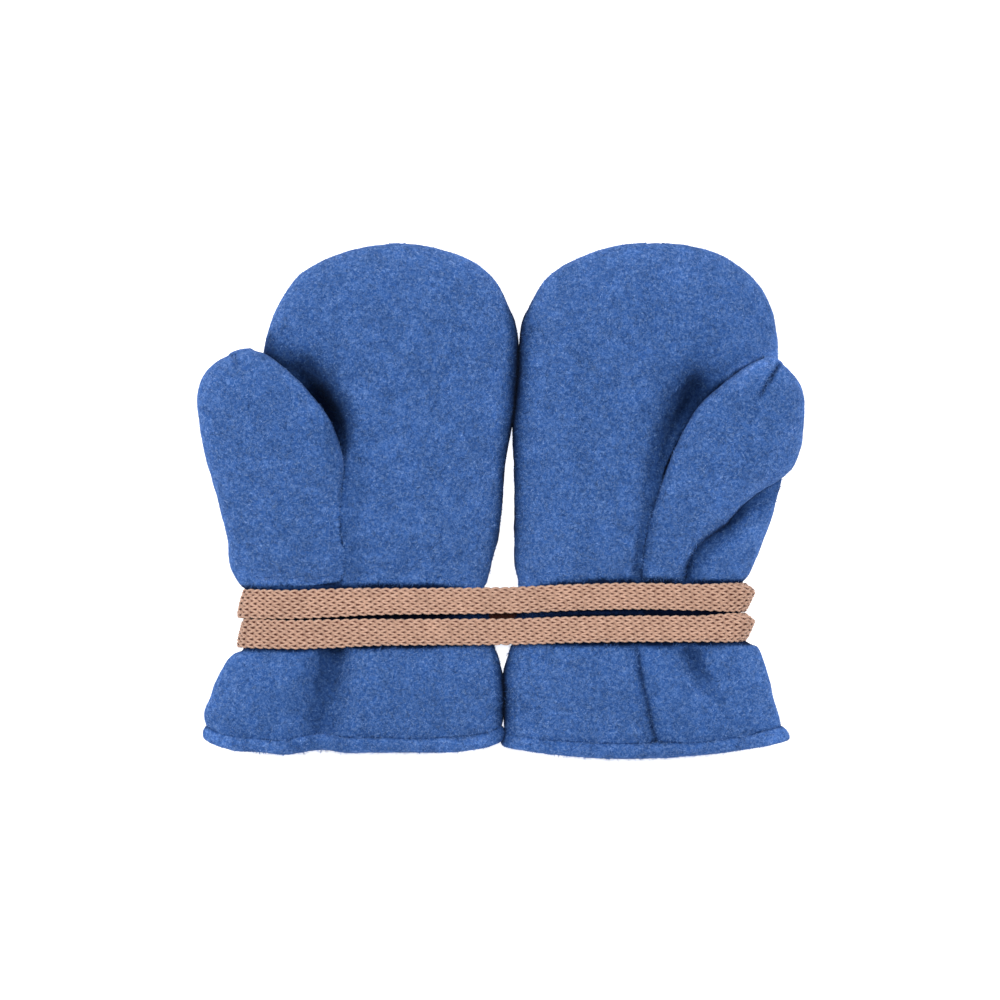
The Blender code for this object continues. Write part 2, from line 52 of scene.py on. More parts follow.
HEM_THICK = 4.6  # its folded edge, through the cloth
CORD_STEP = 4.2  # between the points of the cord's route
SEAM_LEVEL = 0.4524  # height of the outline seam, as a share of the lobe's height
LOBE_HEIGHT = 21.0  # over the fingers, where the hand lobe starts to close
CLOSING_ROW = 16  # the row it closes from
ROUND_TOP = 2.35  # superellipse exponents of the hand lobe's upper and lower halves, and of the thumb
ROUND_UNDER = 3.0
ROUND_THUMB = 2.3
FLATTEN = 1.18  # how far the lower half is pressed past the surface it rests on
THUMB_CLEAR = 0.6  # free thumb above the palm
CORD_THICK = 2.2
END_TUCK = 3.5  # how far its sewn ends run on past their last places in plan

# Hand lobes, a row per ring from the hem to the fingertips. Where the palm's end is the outline's own x, the
# palm ends at the outline seam, and elsewhere at a seam that runs up the palm to the thumb.
#    y      left   right  top   under palm end
LEFT_HAND = (
    (-65.3, -80.9, -0.1, 15.5, 0.9, -50.2),
    (-60.9, -81.1, 0.2, 16.5, 0.3, -49.4),
    (-56.0, -79.7, 0.4, 17.5, 0.0, -48.3),
    (-51.1, -78.3, 0.3, 17.5, 0.0, -47.2),
    (-46.1, -76.2, 0.0, 16.5, 0.6, -46.4),
    (-42.4, -73.4, -0.5, 15.2, 2.0, -45.4),
    (-40.8, -70.4, -1.2, 14.6, 2.6, -44.7),
    (-31.8, -67.6, -2.7, 14.4, 2.6, -43.1),
    (-24.4, -67.4, -3.8, 14.6, 2.6, -42.8),
    (-22.7, -70.8, -3.1, 15.2, 2.0, -43.9),
    (-17.0, -73.0, -1.8, 17.0, 0.5, -45.3),
    (-11.0, -71.6, -0.3, 18.5, 0.0, -46.7),
    (-2.7, -68.1, 0.8, 19.5, 0.0, -50.0),
    (7.7, -67.0, 1.5, 20.5, 0.0, -57.1),
    (18.7, -66.4, 2.8, 21.0, 0.0, -66.4),
    (30.2, -66.2, 4.0, 21.0, 0.0, -66.2),
    (41.2, -65.1, 4.7, 21.0, 0.0, -65.1),
    (49.4, -63.0, 3.8, 20.6, 0.2, -63.0),
    (55.7, -60.0, 1.6, 19.6, 0.9, -60.0),
    (60.7, -56.4, -1.2, 18.3, 1.9, -56.4),
    (64.5, -51.7, -5.6, 16.8, 3.2, -51.7),
    (67.5, -45.6, -11.4, 15.0, 4.7, -45.6),
    (69.5, -38.4, -18.0, 13.2, 6.3, -38.4),
    (70.6, -32.4, -24.0, 11.2, 8.0, -32.4),
    (70.9, -30.2, -26.4, 9.5, 9.5, -30.2),
)
#    y      left right top   under palm end
RIGHT_HAND = (
    (-67.0, 2.2, 77.7, 15.0, 0.9, 42.8),
    (-61.6, 1.8, 76.0, 16.2, 0.3, 41.5),
    (-56.3, 1.6, 74.7, 17.2, 0.0, 40.4),
    (-51.1, 1.6, 74.2, 17.2, 0.0, 39.3),
    (-46.1, 1.7, 73.0, 16.2, 0.6, 38.4),
    (-40.4, 2.7, 70.8, 15.1, 2.1, 37.6),
    (-38.8, 3.4, 67.4, 14.6, 2.6, 37.6),
    (-31.8, 4.1, 66.2, 14.4, 2.6, 37.9),
    (-23.2, 4.7, 66.4, 14.6, 2.6, 39.8),
    (-20.7, 4.3, 68.2, 15.4, 1.8, 41.7),
    (-17.0, 3.8, 69.9, 17.0, 0.5, 44.5),
    (-11.0, 3.7, 72.3, 18.5, 0.0, 48.0),
    (-2.7, 3.6, 75.3, 19.5, 0.0, 52.2),
    (7.7, 3.4, 77.5, 20.2, 0.0, 65.3),
    (18.7, 3.6, 77.1, 20.6, 0.0, 77.1),
    (30.2, 4.8, 76.9, 20.8, 0.0, 76.9),
    (41.2, 5.4, 76.7, 21.0, 0.0, 76.7),
    (49.4, 6.4, 75.6, 20.6, 0.2, 75.6),
    (55.7, 9.1, 73.3, 19.6, 0.9, 73.3),
    (60.7, 12.2, 70.1, 18.3, 1.9, 70.1),
    (64.5, 17.1, 66.1, 16.8, 3.2, 66.1),
    (67.5, 23.1, 60.8, 15.0, 4.7, 60.8),
    (69.6, 29.6, 54.4, 13.2, 6.3, 54.4),
    (70.7, 36.0, 48.6, 11.2, 8.0, 48.6),
    (71.0, 40.1, 44.5, 9.5, 9.5, 44.5),
)

# Thumb lobes, a row per ring from the base to the tip. The first rows lie inside the hand lobe.
#    left edge x, y, z     right edge x, y, z  half the height
LEFT_THUMB = (
    (-63.0, -30.7, 8.4, -41.8, -30.7, 8.6, 1.9),
    (-69.6, -24.2, 8.6, -40.8, -24.4, 9.6, 3.0),
    (-73.6, -17.6, 9.8, -39.8, -18.7, 11.4, 6.0),
    (-75.3, -8.8, 11.2, -40.6, -9.6, 13.4, 7.0),
    (-77.9, 2.2, 12.2, -41.7, 0.5, 16.0, 7.2),
    (-80.9, 13.2, 13.2, -42.8, 12.4, 19.0, 7.4),
    (-82.7, 22.5, 13.8, -46.7, 22.5, 21.0, 7.3),
    (-82.7, 29.6, 14.0, -52.2, 29.6, 21.4, 6.9),
    (-80.8, 34.7, 14.0, -58.2, 35.7, 20.4, 6.0),
    (-77.5, 37.9, 14.2, -63.7, 39.7, 18.8, 4.5),
    (-74.2, 39.6, 15.0, -67.5, 41.0, 17.0, 2.4),
)
RIGHT_THUMB = (
    (39.8, -30.7, 8.4, 50.0, -30.7, 7.8, 2.0),
    (38.6, -25.0, 9.8, 51.5, -24.4, 8.9, 3.2),
    (37.9, -19.2, 12.6, 52.2, -17.8, 11.0, 4.8),
    (38.7, -10.2, 14.4, 57.9, -9.3, 12.4, 5.4),
    (41.2, -1.9, 16.0, 65.9, -0.8, 13.4, 6.4),
    (45.0, 7.7, 17.8, 77.8, 6.4, 14.0, 7.4),
    (50.0, 18.7, 19.6, 81.9, 13.6, 15.2, 7.7),
    (54.9, 26.4, 20.2, 83.0, 21.6, 16.4, 7.4),
    (60.9, 31.8, 20.2, 82.9, 28.3, 17.2, 6.6),
    (67.0, 36.5, 19.6, 80.8, 33.3, 17.6, 5.0),
    (71.9, 38.8, 18.8, 77.2, 37.0, 18.0, 2.6),
)
THUMB_FREE = (3.6, 5.6)  # thumb rows between which it leaves the palm
TIP_REACH = 1.0  # last row to the tip

# Troughs pressed into the palm side, a line of rows per trough.
#    x      y     depth half-width
LEFT_FOLDS = (
    ((-46.4, -42.5, 4.4, 4.8), (-48.2, -54.9, 3.6, 5.8), (-50.0, -65.3, 3.2, 6.0), (-50.5, -71.4, 3.0, 6.0)),
    (
        (-54.5, 33.5, 4.0, 4.6), (-49.0, 27.5, 5.6, 5.0), (-44.6, 21.0, 5.2, 4.4),
        (-42.4, 14.5, 2.8, 3.4), (-42.0, 5.5, 1.1, 3.0), (-41.2, -5.5, 0.9, 3.0), (-39.8, -24.2, 1.3, 3.0),
    ),
)
RIGHT_FOLDS = (
    ((51.6, -41.5, 2.6, 3.0), (53.3, -46.0, 2.8, 3.2), (57.1, -52.0, 2.2, 3.2), (61.3, -57.0, 0.8, 3.0)),
    (
        (82.4, 8.4, 2.8, 3.6), (74.1, 3.0, 3.4, 3.6), (65.9, -2.0, 3.6, 3.6),
        (58.7, -9.5, 3.6, 3.6), (52.7, -17.3, 3.6, 3.4), (51.6, -24.7, 3.2, 3.2),
    ),
    (
        (58.5, 33.0, 1.6, 4.0), (54.5, 29.5, 4.6, 5.0), (51.0, 24.5, 5.6, 5.6), (47.2, 17.5, 4.4, 5.0),
        (44.0, 9.5, 2.8, 4.0), (41.2, 2.0, 1.9, 3.2), (38.4, -9.0, 1.2, 2.4), (37.8, -27.0, 1.2, 2.4),
    ),
)

# How the cuff's edge bows along the mitten: factors of the place across, and of its second and eighth power.
LEFT_BOW = (0.0, -0.3, 3.4)
RIGHT_BOW = (0.8, 3.2, 0.6)

# The cord's route in plan (x, y): the two bands over the top, the pass below, and both sewn ends.
CORD_UPPER = (
    (-71, -28.4), (-58, -28.7), (-48, -28.2), (-38, -27.8), (-8, -27.6),
    (7, -27.3), (17, -26.7), (36, -26.2), (56, -26.7), (71, -26.6),
)
CORD_LOWER = (
    (-71, -36.5), (-58, -36.9), (-48, -36.7), (-38, -36.2), (-8, -36.1),
    (7, -36.0), (17, -35.5), (36, -35.2), (56, -35.3), (71, -34.6),
)
CORD_BELOW = ((-71, -36.5), (71, -26.6))
CORD_START = ((-71, -28.4), (-55, -26.2))
CORD_FINISH = ((55, -36.6), (71, -34.6))

PARTS = ("hand", "thumb", "folds", "bow", "thumb_side")
MITTENS = {
    "left": dict(zip(PARTS, (LEFT_HAND, LEFT_THUMB, LEFT_FOLDS, LEFT_BOW, -1))),
    "right": dict(zip(PARTS, (RIGHT_HAND, RIGHT_THUMB, RIGHT_FOLDS, RIGHT_BOW, 1))),
}


def rows_at(table, r):
    """The table's columns at the row numbers r, whole or not, by a Catmull-Rom curve through its rows."""
    rows = np.asarray(table, float)
    rows = np.vstack([2 * rows[0] - rows[1], rows, 2 * rows[-1] - rows[-2]])
    r = np.clip(np.asarray(r, float), 0, len(table) - 1)
    i = np.minimum(r.astype(int), len(table) - 2)
    t = (r - i)[..., None]
    a, b, c, d = (rows[i + k] for k in range(4))
    curve = 2 * b + (c - a) * t + (2 * a - 5 * b + 4 * c - d) * t**2
    curve += (3 * b - a - 3 * c + d) * t**3
    return np.moveaxis(curve / 2, -1, 0)


def power(value, exponent):
    return np.sign(value) * np.abs(value) ** exponent


def smooth(value, low, high):
    t = np.clip((value - low) / (high - low), 0, 1)
    return t * t * (3 - 2 * t)


def fading(value, full, gone):
    """1 up to full, and smoothly down to 0 from gone on."""
    return smooth(-value, -gone, -full)


def bell(distance, width):
    """1 at no distance, and nearly 0 from twice the width on."""
    return np.exp(-((distance / width) ** 2))


def unit(vectors):
    """The vectors brought to a length of 1."""
    return vectors / np.maximum(np.linalg.norm(vectors, axis=-1, keepdims=True), 1e-9)


def length_along(points):
    """The length of a line of points up to each of them."""
    return np.concatenate([[0], np.cumsum(np.linalg.norm(np.diff(points, axis=0), axis=1))])


def lower_of(a, b, soft):
    """The smaller of two heights, rounded over where they meet."""
    h = np.clip(0.5 + 0.5 * (b - a) / soft, 0, 1)
    return b * (1 - h) + a * h - soft * h * (1 - h)


def trough(x, y, line):
    """How deep a trough lies under places in plan, from its rows of x, y, depth and half-width."""
    nearest, deep, wide = np.full(np.shape(x), np.inf), 0.0, 1.0
    for start, end in zip(np.array(line), np.array(line)[1:]):
        dx, dy = end[:2] - start[:2]
        t = np.clip(((x - start[0]) * dx + (y - start[1]) * dy) / (dx * dx + dy * dy), 0, 1)
        far = np.hypot(x - start[0] - t * dx, y - start[1] - t * dy)
        deep = np.where(far < nearest, start[2] + t * (end[2] - start[2]), deep)
        wide = np.where(far < nearest, start[3] + t * (end[3] - start[3]), wide)
        nearest = np.minimum(far, nearest)
    return deep * bell(nearest, wide)


def under_thumb(mitten, x, y, natural):
    """The palm's highest level where the thumb lies over it or grows out of it."""
    t = np.linspace(1.0, len(mitten["thumb"]) - 1, 73)
    lx, ly, lz, rx, ry, rz, half = rows_at(mitten["thumb"], t)
    cx, cy, wx, wy = (lx + rx) / 2, (ly + ry) / 2, (rx - lx) / 2, (ry - ly) / 2
    side = wx * (y[..., None] - cy) - wy * (x[..., None] - cx)
    i = np.clip((side > 0).sum(-1) - 1, 0, len(t) - 2)
    s0, s1 = (np.take_along_axis(side, k[..., None], -1)[..., 0] for k in (i, i + 1))
    part = np.clip(s0 / np.where(s0 == s1, 1.0, s0 - s1), 0, 1)
    row = t[i] + part * (t[1] - t[0])
    beyond = np.where(side[..., -1] > 0, side[..., -1] / np.hypot(wx[-1], wy[-1]), 0.0)
    lx, ly, lz, rx, ry, rz, half = rows_at(mitten["thumb"], row)
    wx, wy = (rx - lx) / 2, (ry - ly) / 2
    e = ((x - (lx + rx) / 2) * wx + (y - (ly + ry) / 2) * wy) / (wx * wx + wy * wy)
    level = (lz + rz) / 2 + np.clip(e, -1, 1) * (rz - lz) / 2
    lens = half * (1 - np.minimum(np.abs(e), 1) ** ROUND_THUMB) ** (1 / ROUND_THUMB)
    out = np.maximum(np.abs(e) - 1, 0) * np.hypot(wx, wy)
    free = level - lens - THUMB_CLEAR + 1.6 * out + 2.0 * beyond
    grown = level + 0.35 * lens + 6.0 * smooth(np.abs(e), 0.72, 1.0) + 3.0 * out
    starts = smooth(side[..., 0], 0.0, 40.0)
    limit = grown + (free - grown) * smooth(row, *THUMB_FREE)
    limit = natural + (limit - natural) * starts
    return lower_of(natural, limit, 1.2)


def hand_point(mitten, u, r, inset=0.0):
    """The hand lobe's surface, set in by inset. u turns from the right edge over the palm, r is a row."""
    u, r = np.broadcast_arrays(np.asarray(u, float), np.asarray(r, float))
    y, left, right, top, under, _ = rows_at(mitten["hand"], r)
    tall = np.where(r > CLOSING_ROW, np.clip((top - under) / LOBE_HEIGHT, 0, 1), 1.0)
    left, right = left + inset * tall**1.4, right - inset * tall**1.4
    y = y - inset * np.sqrt(1 - tall**2)
    top, under = top - inset * tall, under + inset * tall
    half, level = (right - left) / 2, under + SEAM_LEVEL * (top - under)
    upper = np.sin(u) >= 0
    across = power(np.cos(u), 2 / np.where(upper, ROUND_TOP, ROUND_UNDER))
    x = (left + right) / 2 + half * across
    up = level + (top - level) * np.abs(np.sin(u)) ** (2 / ROUND_TOP)
    down = level - FLATTEN * (level - under) * np.abs(np.sin(u)) ** (2 / ROUND_UNDER)
    z = np.where(upper, up, np.maximum(down, under))
    a, b, c = mitten["bow"]
    y = y + (a * across + b * across**2 + c * across**8) * (1 - smooth(r, 0.0, 4.0))
    ceiling = level + (top - level) * (1 - np.abs(across) ** ROUND_TOP) ** (1 / ROUND_TOP)
    pressed = ceiling
    for line in mitten["folds"]:
        pressed = pressed - trough(x, y, line) * smooth(ceiling - level, 0.0, 4.0)
    pressed = under_thumb(mitten, x, y, pressed + inset) - inset
    z = under + (z - under) * (pressed - under) / np.maximum(ceiling - under, 0.2)
    return np.stack([x, y, z], -1)


def thumb_point(mitten, v, t, inset=0.0):
    """The thumb lobe's surface, likewise. v goes round as u does, and t past the last row runs to the tip."""
    v, t = np.broadcast_arrays(np.asarray(v, float), np.asarray(t, float))
    last = len(mitten["thumb"]) - 1
    past = np.clip(t - last, 0, 1)
    lx, ly, lz, rx, ry, rz, half = rows_at(mitten["thumb"], t)
    left, right = np.stack([lx, ly, lz], -1), np.stack([rx, ry, rz], -1)
    inset = np.minimum(inset, 0.6 * half)
    half = half - inset
    narrower = 1 - 2 * inset / np.linalg.norm(right - left, axis=-1)
    ends = rows_at(mitten["thumb"], np.array([last - 1.0, last]))
    ahead = np.diff((ends[0:3] + ends[3:6]) / 2, axis=1)[:, 0]
    ahead /= np.linalg.norm(ahead)
    shrink = np.sqrt(1 - past**2)[..., None]
    across = power(np.cos(v), 2 / ROUND_THUMB)[..., None] * shrink
    rise = power(np.sin(v), 2 / ROUND_THUMB)[..., None] * shrink * half[..., None]
    wide = (right - left) / 2 * narrower[..., None] * across
    reach = ahead * TIP_REACH * past[..., None]
    return (left + right) / 2 + wide + rise * np.array([0, 0, 1.0]) + reach


def evenly(mitten, r, start, end, count):
    """Angles from start to end that stand evenly along the hand lobe's row r."""
    u = np.linspace(start, end, 241)
    far = length_along(hand_point(mitten, u, r))
    return np.interp(np.linspace(0, far[-1], count), far, u)


def palm_end(mitten, r):
    """The angle at which the palm ends on the thumb side in row r."""
    _, left, right, _, _, place = rows_at(mitten["hand"], r)
    share = np.clip((place - (left + right) / 2) / ((right - left) / 2), -1, 1)
    return math.acos(float(power(share, ROUND_TOP / 2)))


def outline_of(points):
    """The convex outline of (x, z) points, anticlockwise."""
    points = sorted(set(map(tuple, np.round(points, 3))))

    def half(seq):
        chain = []
        for p in seq:
            while len(chain) > 1:
                (ax, az), (bx, bz) = chain[-2], chain[-1]
                if (bx - ax) * (p[1] - az) - (bz - az) * (p[0] - ax) > 0:
                    break
                chain.pop()
            chain.append(p)
        return chain[:-1]

    return np.array(half(points) + half(points[::-1]))


def cord_track():
    """The line (x, z) that the cord's middle follows round both wrists, from the left end over the top."""
    wrists = []
    for mitten in MITTENS.values():
        for r in np.linspace(6.0, 8.05, 9):
            u = np.linspace(0, 2 * math.pi, 121)
            wrists.append(hand_point(mitten, u, r)[:, [0, 2]])
    hull = outline_of(np.concatenate(wrists))
    away = SEAM + CORD_THICK / 2
    edges = np.roll(hull, -1, 0) - hull
    outward = unit(np.stack([edges[:, 1], -edges[:, 0]], 1))
    track = []
    for point, before, after in zip(hull, np.roll(outward, 1, 0), outward):
        mid = before + after
        mid /= np.linalg.norm(mid)
        track += [point + away * before, point + away * mid, point + away * after]
    track = np.array(track)[::-1]
    return np.roll(track, -int(track[:, 0].argmin()), 0)


def cord_path():
    """The cord's middle line, from the end sewn below the left mitten to the one below the right mitten."""
    track = cord_track()
    closed = np.vstack([track, track[:1]])
    length = length_along(closed)
    right, whole = length[int(closed[:, 0].argmax())], length[-1]
    start, finish = CORD_START[1][0] - closed[0, 0], closed[:, 0].max() - CORD_FINISH[0][0]
    legs = (
        (-start - END_TUCK, 0.0, CORD_START),
        (0.0, right, CORD_UPPER),
        (right, whole, CORD_BELOW),
        (whole, whole + right, CORD_LOWER),
        (whole + right, whole + right + finish + END_TUCK, CORD_FINISH),
    )
    path = []
    for begin, end, places in legs:
        steps = max(3, round((end - begin) / CORD_STEP))
        places = np.array(places, float)
        for s in np.linspace(begin, end, steps, endpoint=False):
            x, z = (np.interp(s % whole, length, closed[:, k]) for k in (0, 1))
            path.append((x, np.interp(x, places[:, 0], places[:, 1]), z))
    return np.array(path)


# ---- fleece ----
GRAIN = {"palm": 0.75, "back": 1.05, "thumb": 0.75}  # distance between the fleece's points
TIP_ROWS = (0.35, 0.6, 0.78, 0.9, 0.97, 0.995)  # the thumb's rows past its last, as shares of TIP_REACH
THUMB_POINTS = 104  # round the thumb
LOBE_STEP = 1.5  # between the rows of the plain hand lobe that tells what lies inside the hand
INSIDE_HAND = (10.0, 9.0)  # y and z of a place inside it
HIDDEN = {"panel": 2.8, "thumb": 3.5}  # cloth deeper inside the other lobe than this is left out
PLUMP = 0.05  # the nap stands this far out of the wall
INNER = 2.2  # thickness of the shown wall
NAP_LUMPS = ((0.1, 1.7), (0.14, 3.6), (0.22, 11.0))  # heights and sizes of the nap's lumps
# Seeds of the random draws. The thumb's is added to its side's.
SEEDS = {"left": 11, "right": 23, "thumb": 26, "hem": 71, "slack": 15, "fibres": 31, "yarn": 5}
FLOOR_CALM = (0.2, 1.6)  # heights over the floor between which the nap and the creases reach their own

# Troughs in the palm side, besides those of the solids: rows of x, y, depth and half-width. A negative depth
# is a ridge.
LEFT_CREASES = (
    ((-60.5, 36.5, 1, 2.6), (-55.4, 33.4, 1.8, 3.4), (-50.4, 28.6, 1.8, 3.8), (-46.8, 23.4, 1.2, 3.2),
     (-44.6, 19.2, 0.4, 2)),
    ((-53.6, 31.8, 0.6, 1.8), (-50.2, 29, 3, 2), (-48, 26, 3.4, 1.8), (-45.8, 22, 2, 1.5),
     (-44.6, 18.6, 0.1, 1.4)),
    ((-44.8, -40, 1.5, 4), (-44.8, -46, 1.7, 4.4), (-46.4, -54, 1.1, 5), (-48, -62, 0.8, 5),
     (-49, -68, 0.6, 4)),
    ((-41.4, 24, -0.7, 2.2), (-41, 16, -1.4, 2.4), (-41.2, 9, -1.3, 2.6), (-40.4, 0, -0.6, 2.6),
     (-39.8, -8, -0.5, 2.4)),
    ((-62, -54, -0.6, 5), (-62.5, -64, -0.6, 5)),
    ((-30, -41, 0.8, 2.6), (-28.5, -48, 0.7, 2.8), (-27.5, -58, 0.1, 2.6)),
    ((-26, -22, 0.8, 2), (-24.5, -15, 0.6, 2.2), (-24.5, -6, 0.1, 2.2)),
    ((-54, -22.5, 0.9, 2.2), (-52, -14, 0.7, 2.6), (-51, -7, 0.1, 2.6)),
    ((-12, -22, 0.6, 1.8), (-13, -14, 0.1, 2.2)),
    ((-63, -41, 0.7, 2.4), (-66, -50, 0.1, 2.6)),
    ((-15, -41, 0.6, 2), (-13.5, -52, 0.1, 2.4)),
    ((-41.4, -8, 0, 1.6), (-40.8, -14, 0.4, 1.6), (-40.2, -23, 0.5, 1.6)),
    ((-43.2, 8, 0, 1.2), (-42.6, 2, -0.5, 1.3), (-42, -8, -0.6, 1.3), (-41.6, -14, 0, 1.2)),
)
RIGHT_CREASES = (
    ((55.5, 37, 0.4, 3), (53.4, 33, 1.6, 3.2), (52, 27.6, 1.6, 2.8), (49, 20.4, 0.3, 2.3), (45, 11, 0, 1.8),
     (41.4, -0.5, 0.4, 1.5), (39.4, -7, 0.6, 1.4), (37.8, -16, 0.9, 1.2), (37.4, -25, 1, 1.2)),
    ((60.5, 34, -0.4, 2.2), (65, 37, -1.6, 2.6), (71, 40, -1.9, 2.8), (76, 41, -1.6, 2.6)),
    ((46, 35, 0.6, 3.6), (44, 28, 0.8, 4.2), (42, 20, 0.6, 4.2), (41, 11, 0.3, 4)),
    ((79, 6.2, -1, 3.2), (70, 0.6, -0.9, 3.2), (65, -3.2, -0.5, 3), (60.9, -7.2, 0.1, 2.4),
     (56, -12.4, 0.4, 2.2), (50.2, -18.6, 0.7, 2), (47.6, -24, 0.7, 1.9)),
    ((54.6, -14.5, -0.8, 1.8), (53.6, -19.5, -1.8, 1.9), (53.2, -24.5, -2, 2)),
    ((49.6, -19.2, 0.9, 1.7), (47.4, -25, 0.9, 1.7)),
    ((52, -40.5, 1.2, 1.6), (52.6, -43, 1, 1.8), (54.4, -46.5, 0.1, 2.4)),
    ((45.6, -42, -0.5, 3), (47, -52, -0.7, 4), (48, -61, -0.2, 4)),
    ((12, -41, 0.7, 2.4), (11, -52, 0.1, 2.6)),
    ((27, -41, 0.6, 2), (26, -50, 0.1, 2.4)),
    ((22, -22, 0.7, 2.2), (21, -12, 0.1, 2.4)),
    ((10, -22, 0.6, 2), (11, -14, 0.1, 2.2)),
    ((32, -22, 0.6, 2), (31, -15, 0.1, 2.2)),
)
# The same on the back, where nothing is shown, as shares of the mitten's half-width from its middle.
BACK_CREASES = (
    ((0.1, -41, 0.9, 2.6), (0.08, -56, 0.1, 3)),
    ((-0.35, -41, 0.8, 2.2), (-0.42, -54, 0.1, 2.6)),
    ((0.45, -41, 0.7, 2.2), (0.52, -52, 0.1, 2.4)),
    ((-0.15, -22, 0.8, 2.2), (-0.1, -8, 0.1, 2.4)),
    ((0.4, -22, 0.9, 2.4), (0.33, -6, 0.1, 2.8)),
    ((-0.5, -22, 0.6, 2), (-0.45, -12, 0.1, 2.4)),
)
CREASE_FACING = (0.1, 0.5)  # how far up or down the cloth faces where its creases set in
BACK_SPAN = {"left": (-35.0, 34.0), "right": (38.0, 34.0)}  # each mitten's middle and half-width
# How much of the gap between the mittens their cloth closes, along them.
TOUCH = ((-80, 0.8), (-66, 1), (-48, 1), (-43, 0.3), (-38, 0), (10, 0), (19, 0.6), (23, 1), (41, 1),
         (46, 0.6), (52, 0))
NEAR_OTHER = (-11.0, -2.0)  # distances to the gap's middle between which the cloth starts to lean
LEAN_OVER = 0.1  # how far past the gap's middle it leans
TOWARD = {"left": 1, "right": -1}  # the way to the other mitten
# Seams at the thumbs' tips, as troughs.
TIP_SEAMS = {
    "left": ((-73.4, 41.5, 1.6, 0.8), (-72.6, 38.4, 0.7, 0.9), (-71.6, 35.5, 0.1, 1.2)),
    "right": ((76.6, 38, 1.6, 0.7), (74.2, 33.8, 1.5, 0.7), (71.6, 29.4, 1.1, 0.7), (69.2, 25.6, 0.3, 0.8),
              (67.8, 22.8, 0, 0.9)),
}
# Where the thumb swells over the cloth beside it, by how much and how widely.
SWELL = ((54.4, -14, 0, 3), (57.6, -9.2, 0.9, 3.6), (61, -5.6, 1.9, 4.4), (65, -2.6, 1.6, 4.4),
         (70, 0.8, 0.5, 3.6), (74, 3.4, 0, 3))
SWELL_FACING = (0.64, -0.77, 0.0)  # the way that side of the thumb faces
SEAM_DEPTH = {"left": 0.0, "right": 1.0}  # how sharply the seam up the palm is drawn in below the fingers
SHARP_FROM = (10.0, 18.0)  # and the places along it between which it gets as sharp as elsewhere
# How seams draw the cloth in, as depths and widths: a narrow dent in a wide one.
PALM_SEAM = ((0.95, 0.95), (0.35, 3.0))
OUTLINE_SEAM = ((0.6, 0.95), (0.3, 3.0))
CUFF_SEAM = ((0.35, 1.2),)
# The seam round a thumb's root: its depth, the way along the mitten, and steps of how much less deep it gets
# between two places.
ROOT_SEAM = {
    "left": (0.5, -1, ((0.3, -16.0, -10.0), (0.5, -3.0, 5.0), (0.4, 11.0, 17.0))),
    "right": (0.4, 1, ((0.4, 26.0, 33.0),)),
}
ROOT_WIDTH = 1.5

# Painted light and shade: where the nap is painted lighter, as light falling on it, or, below nought, darker,
# as shade: rows of x, y, strength and half-width.
PAINTED_LIGHT_STROKES = {
    "left": (
        ((-47.6, 24, -0.15, 2), (-46.4, 18, -0.3, 2.2), (-45.4, 11, -0.18, 2), (-43.6, 5, -0.12, 1.8),
         (-42.6, 0, -0.16, 1.7), (-42, -8, -0.18, 1.7), (-41.2, -14, -0.12, 2), (-40.6, -20, -0.12, 2.4)),
        ((-56, 41, -0.15, 4), (-50, 37, -0.34, 4.8), (-45.6, 32, -0.18, 4.2), (-43.5, 25, 0, 3)),
        ((-50, -41, -0.2, 5), (-49.6, -50, -0.34, 6), (-50.6, -60, -0.3, 6.4), (-51.6, -68, -0.18, 6)),
    ),
    "right": (
        ((61.5, 31, 0, 2), (66, 34.2, 0.36, 2.4), (71.6, 37.4, 0.42, 2.8), (76.2, 38.8, 0.3, 2.4)),
        ((67, 43.5, 0, 3), (71, 42.6, 0.14, 3), (74.5, 42.4, 0.26, 3.4), (78, 42.4, 0.3, 3.4)),
        ((54.5, -19, 0.1, 2.6), (58.6, -13.7, 0.14, 3.2), (63.5, -10, 0.16, 3.2), (69.5, -6, 0.14, 3.2)),
        ((58.5, 43, -0.06, 4.5), (54.6, 40, -0.24, 4.8), (50.6, 34, -0.34, 4.8), (46.8, 26, -0.26, 4.6),
         (45, 20, -0.2, 4.2), (43, 12, -0.16, 3.6), (41.6, 5, -0.05, 3)),
    ),
}
CREASE_PAINTED_SHADE = 0.1  # painted shade: how much darker the nap is painted for each millimetre that a crease presses it
SEAM_PAINTED_SHADE = 0.3  # and for each that a seam does
# Where the thumb's edge or a fold blends into the cloth beside it, so that its shadow is weaker: rows of x,
# y, share and half-width.
BLENDED = {
    "left": (
        ((-62, 37.5, 0.65, 4), (-56, 34.2, 0.55, 4), (-52, 31, 0.25, 3), (-50, 28.5, 0, 2.4)),
        ((-45.6, 20.5, 0.15, 1.8), (-44.4, 16.5, 0.3, 2.2), (-43.2, 11, 0.85, 2.8), (-41.6, 4, 0.7, 3.2),
         (-41, -4, 0.6, 3.2), (-40.6, -24, 0.6, 3.2)),
        ((-43.5, 25, 0, 2), (-41.2, 21, 0.35, 2.4), (-40, 17.5, 0.6, 2.6), (-39.6, 13, 0.6, 2.6),
         (-39.4, 8, 0.2, 2.4)),
        ((-48, -40, 0.35, 6), (-48.6, -52, 0.5, 6), (-50, -66, 0.5, 6)),
    ),
    "right": (
        ((55.5, 29, 0, 2), (58.5, 32, 0.5, 2.6), (61.5, 34, 0.8, 2.8), (66, 37, 1, 3.4), (71, 40, 1, 4.4),
         (78, 41, 1, 5)),
        ((54, 28, 0.15, 2), (51.6, 24.6, 0.2, 2.6), (48, 19, 0.55, 3), (45.2, 11, 0.6, 3),
         (42.5, 3, 0.5, 2.6), (40.6, -3, 0.35, 2.4), (38.4, -11, 0.3, 2.2), (37.6, -25, 0.35, 2.2)),
        ((82, 8.6, 0.9, 4.5), (74, 2.6, 0.85, 4.5), (67.5, -4, 0.5, 4), (60, -10.5, 0.15, 3)),
    ),
}
GROOVE = (0.7, 2.4)  # and the same beside the hem, as a share and a width
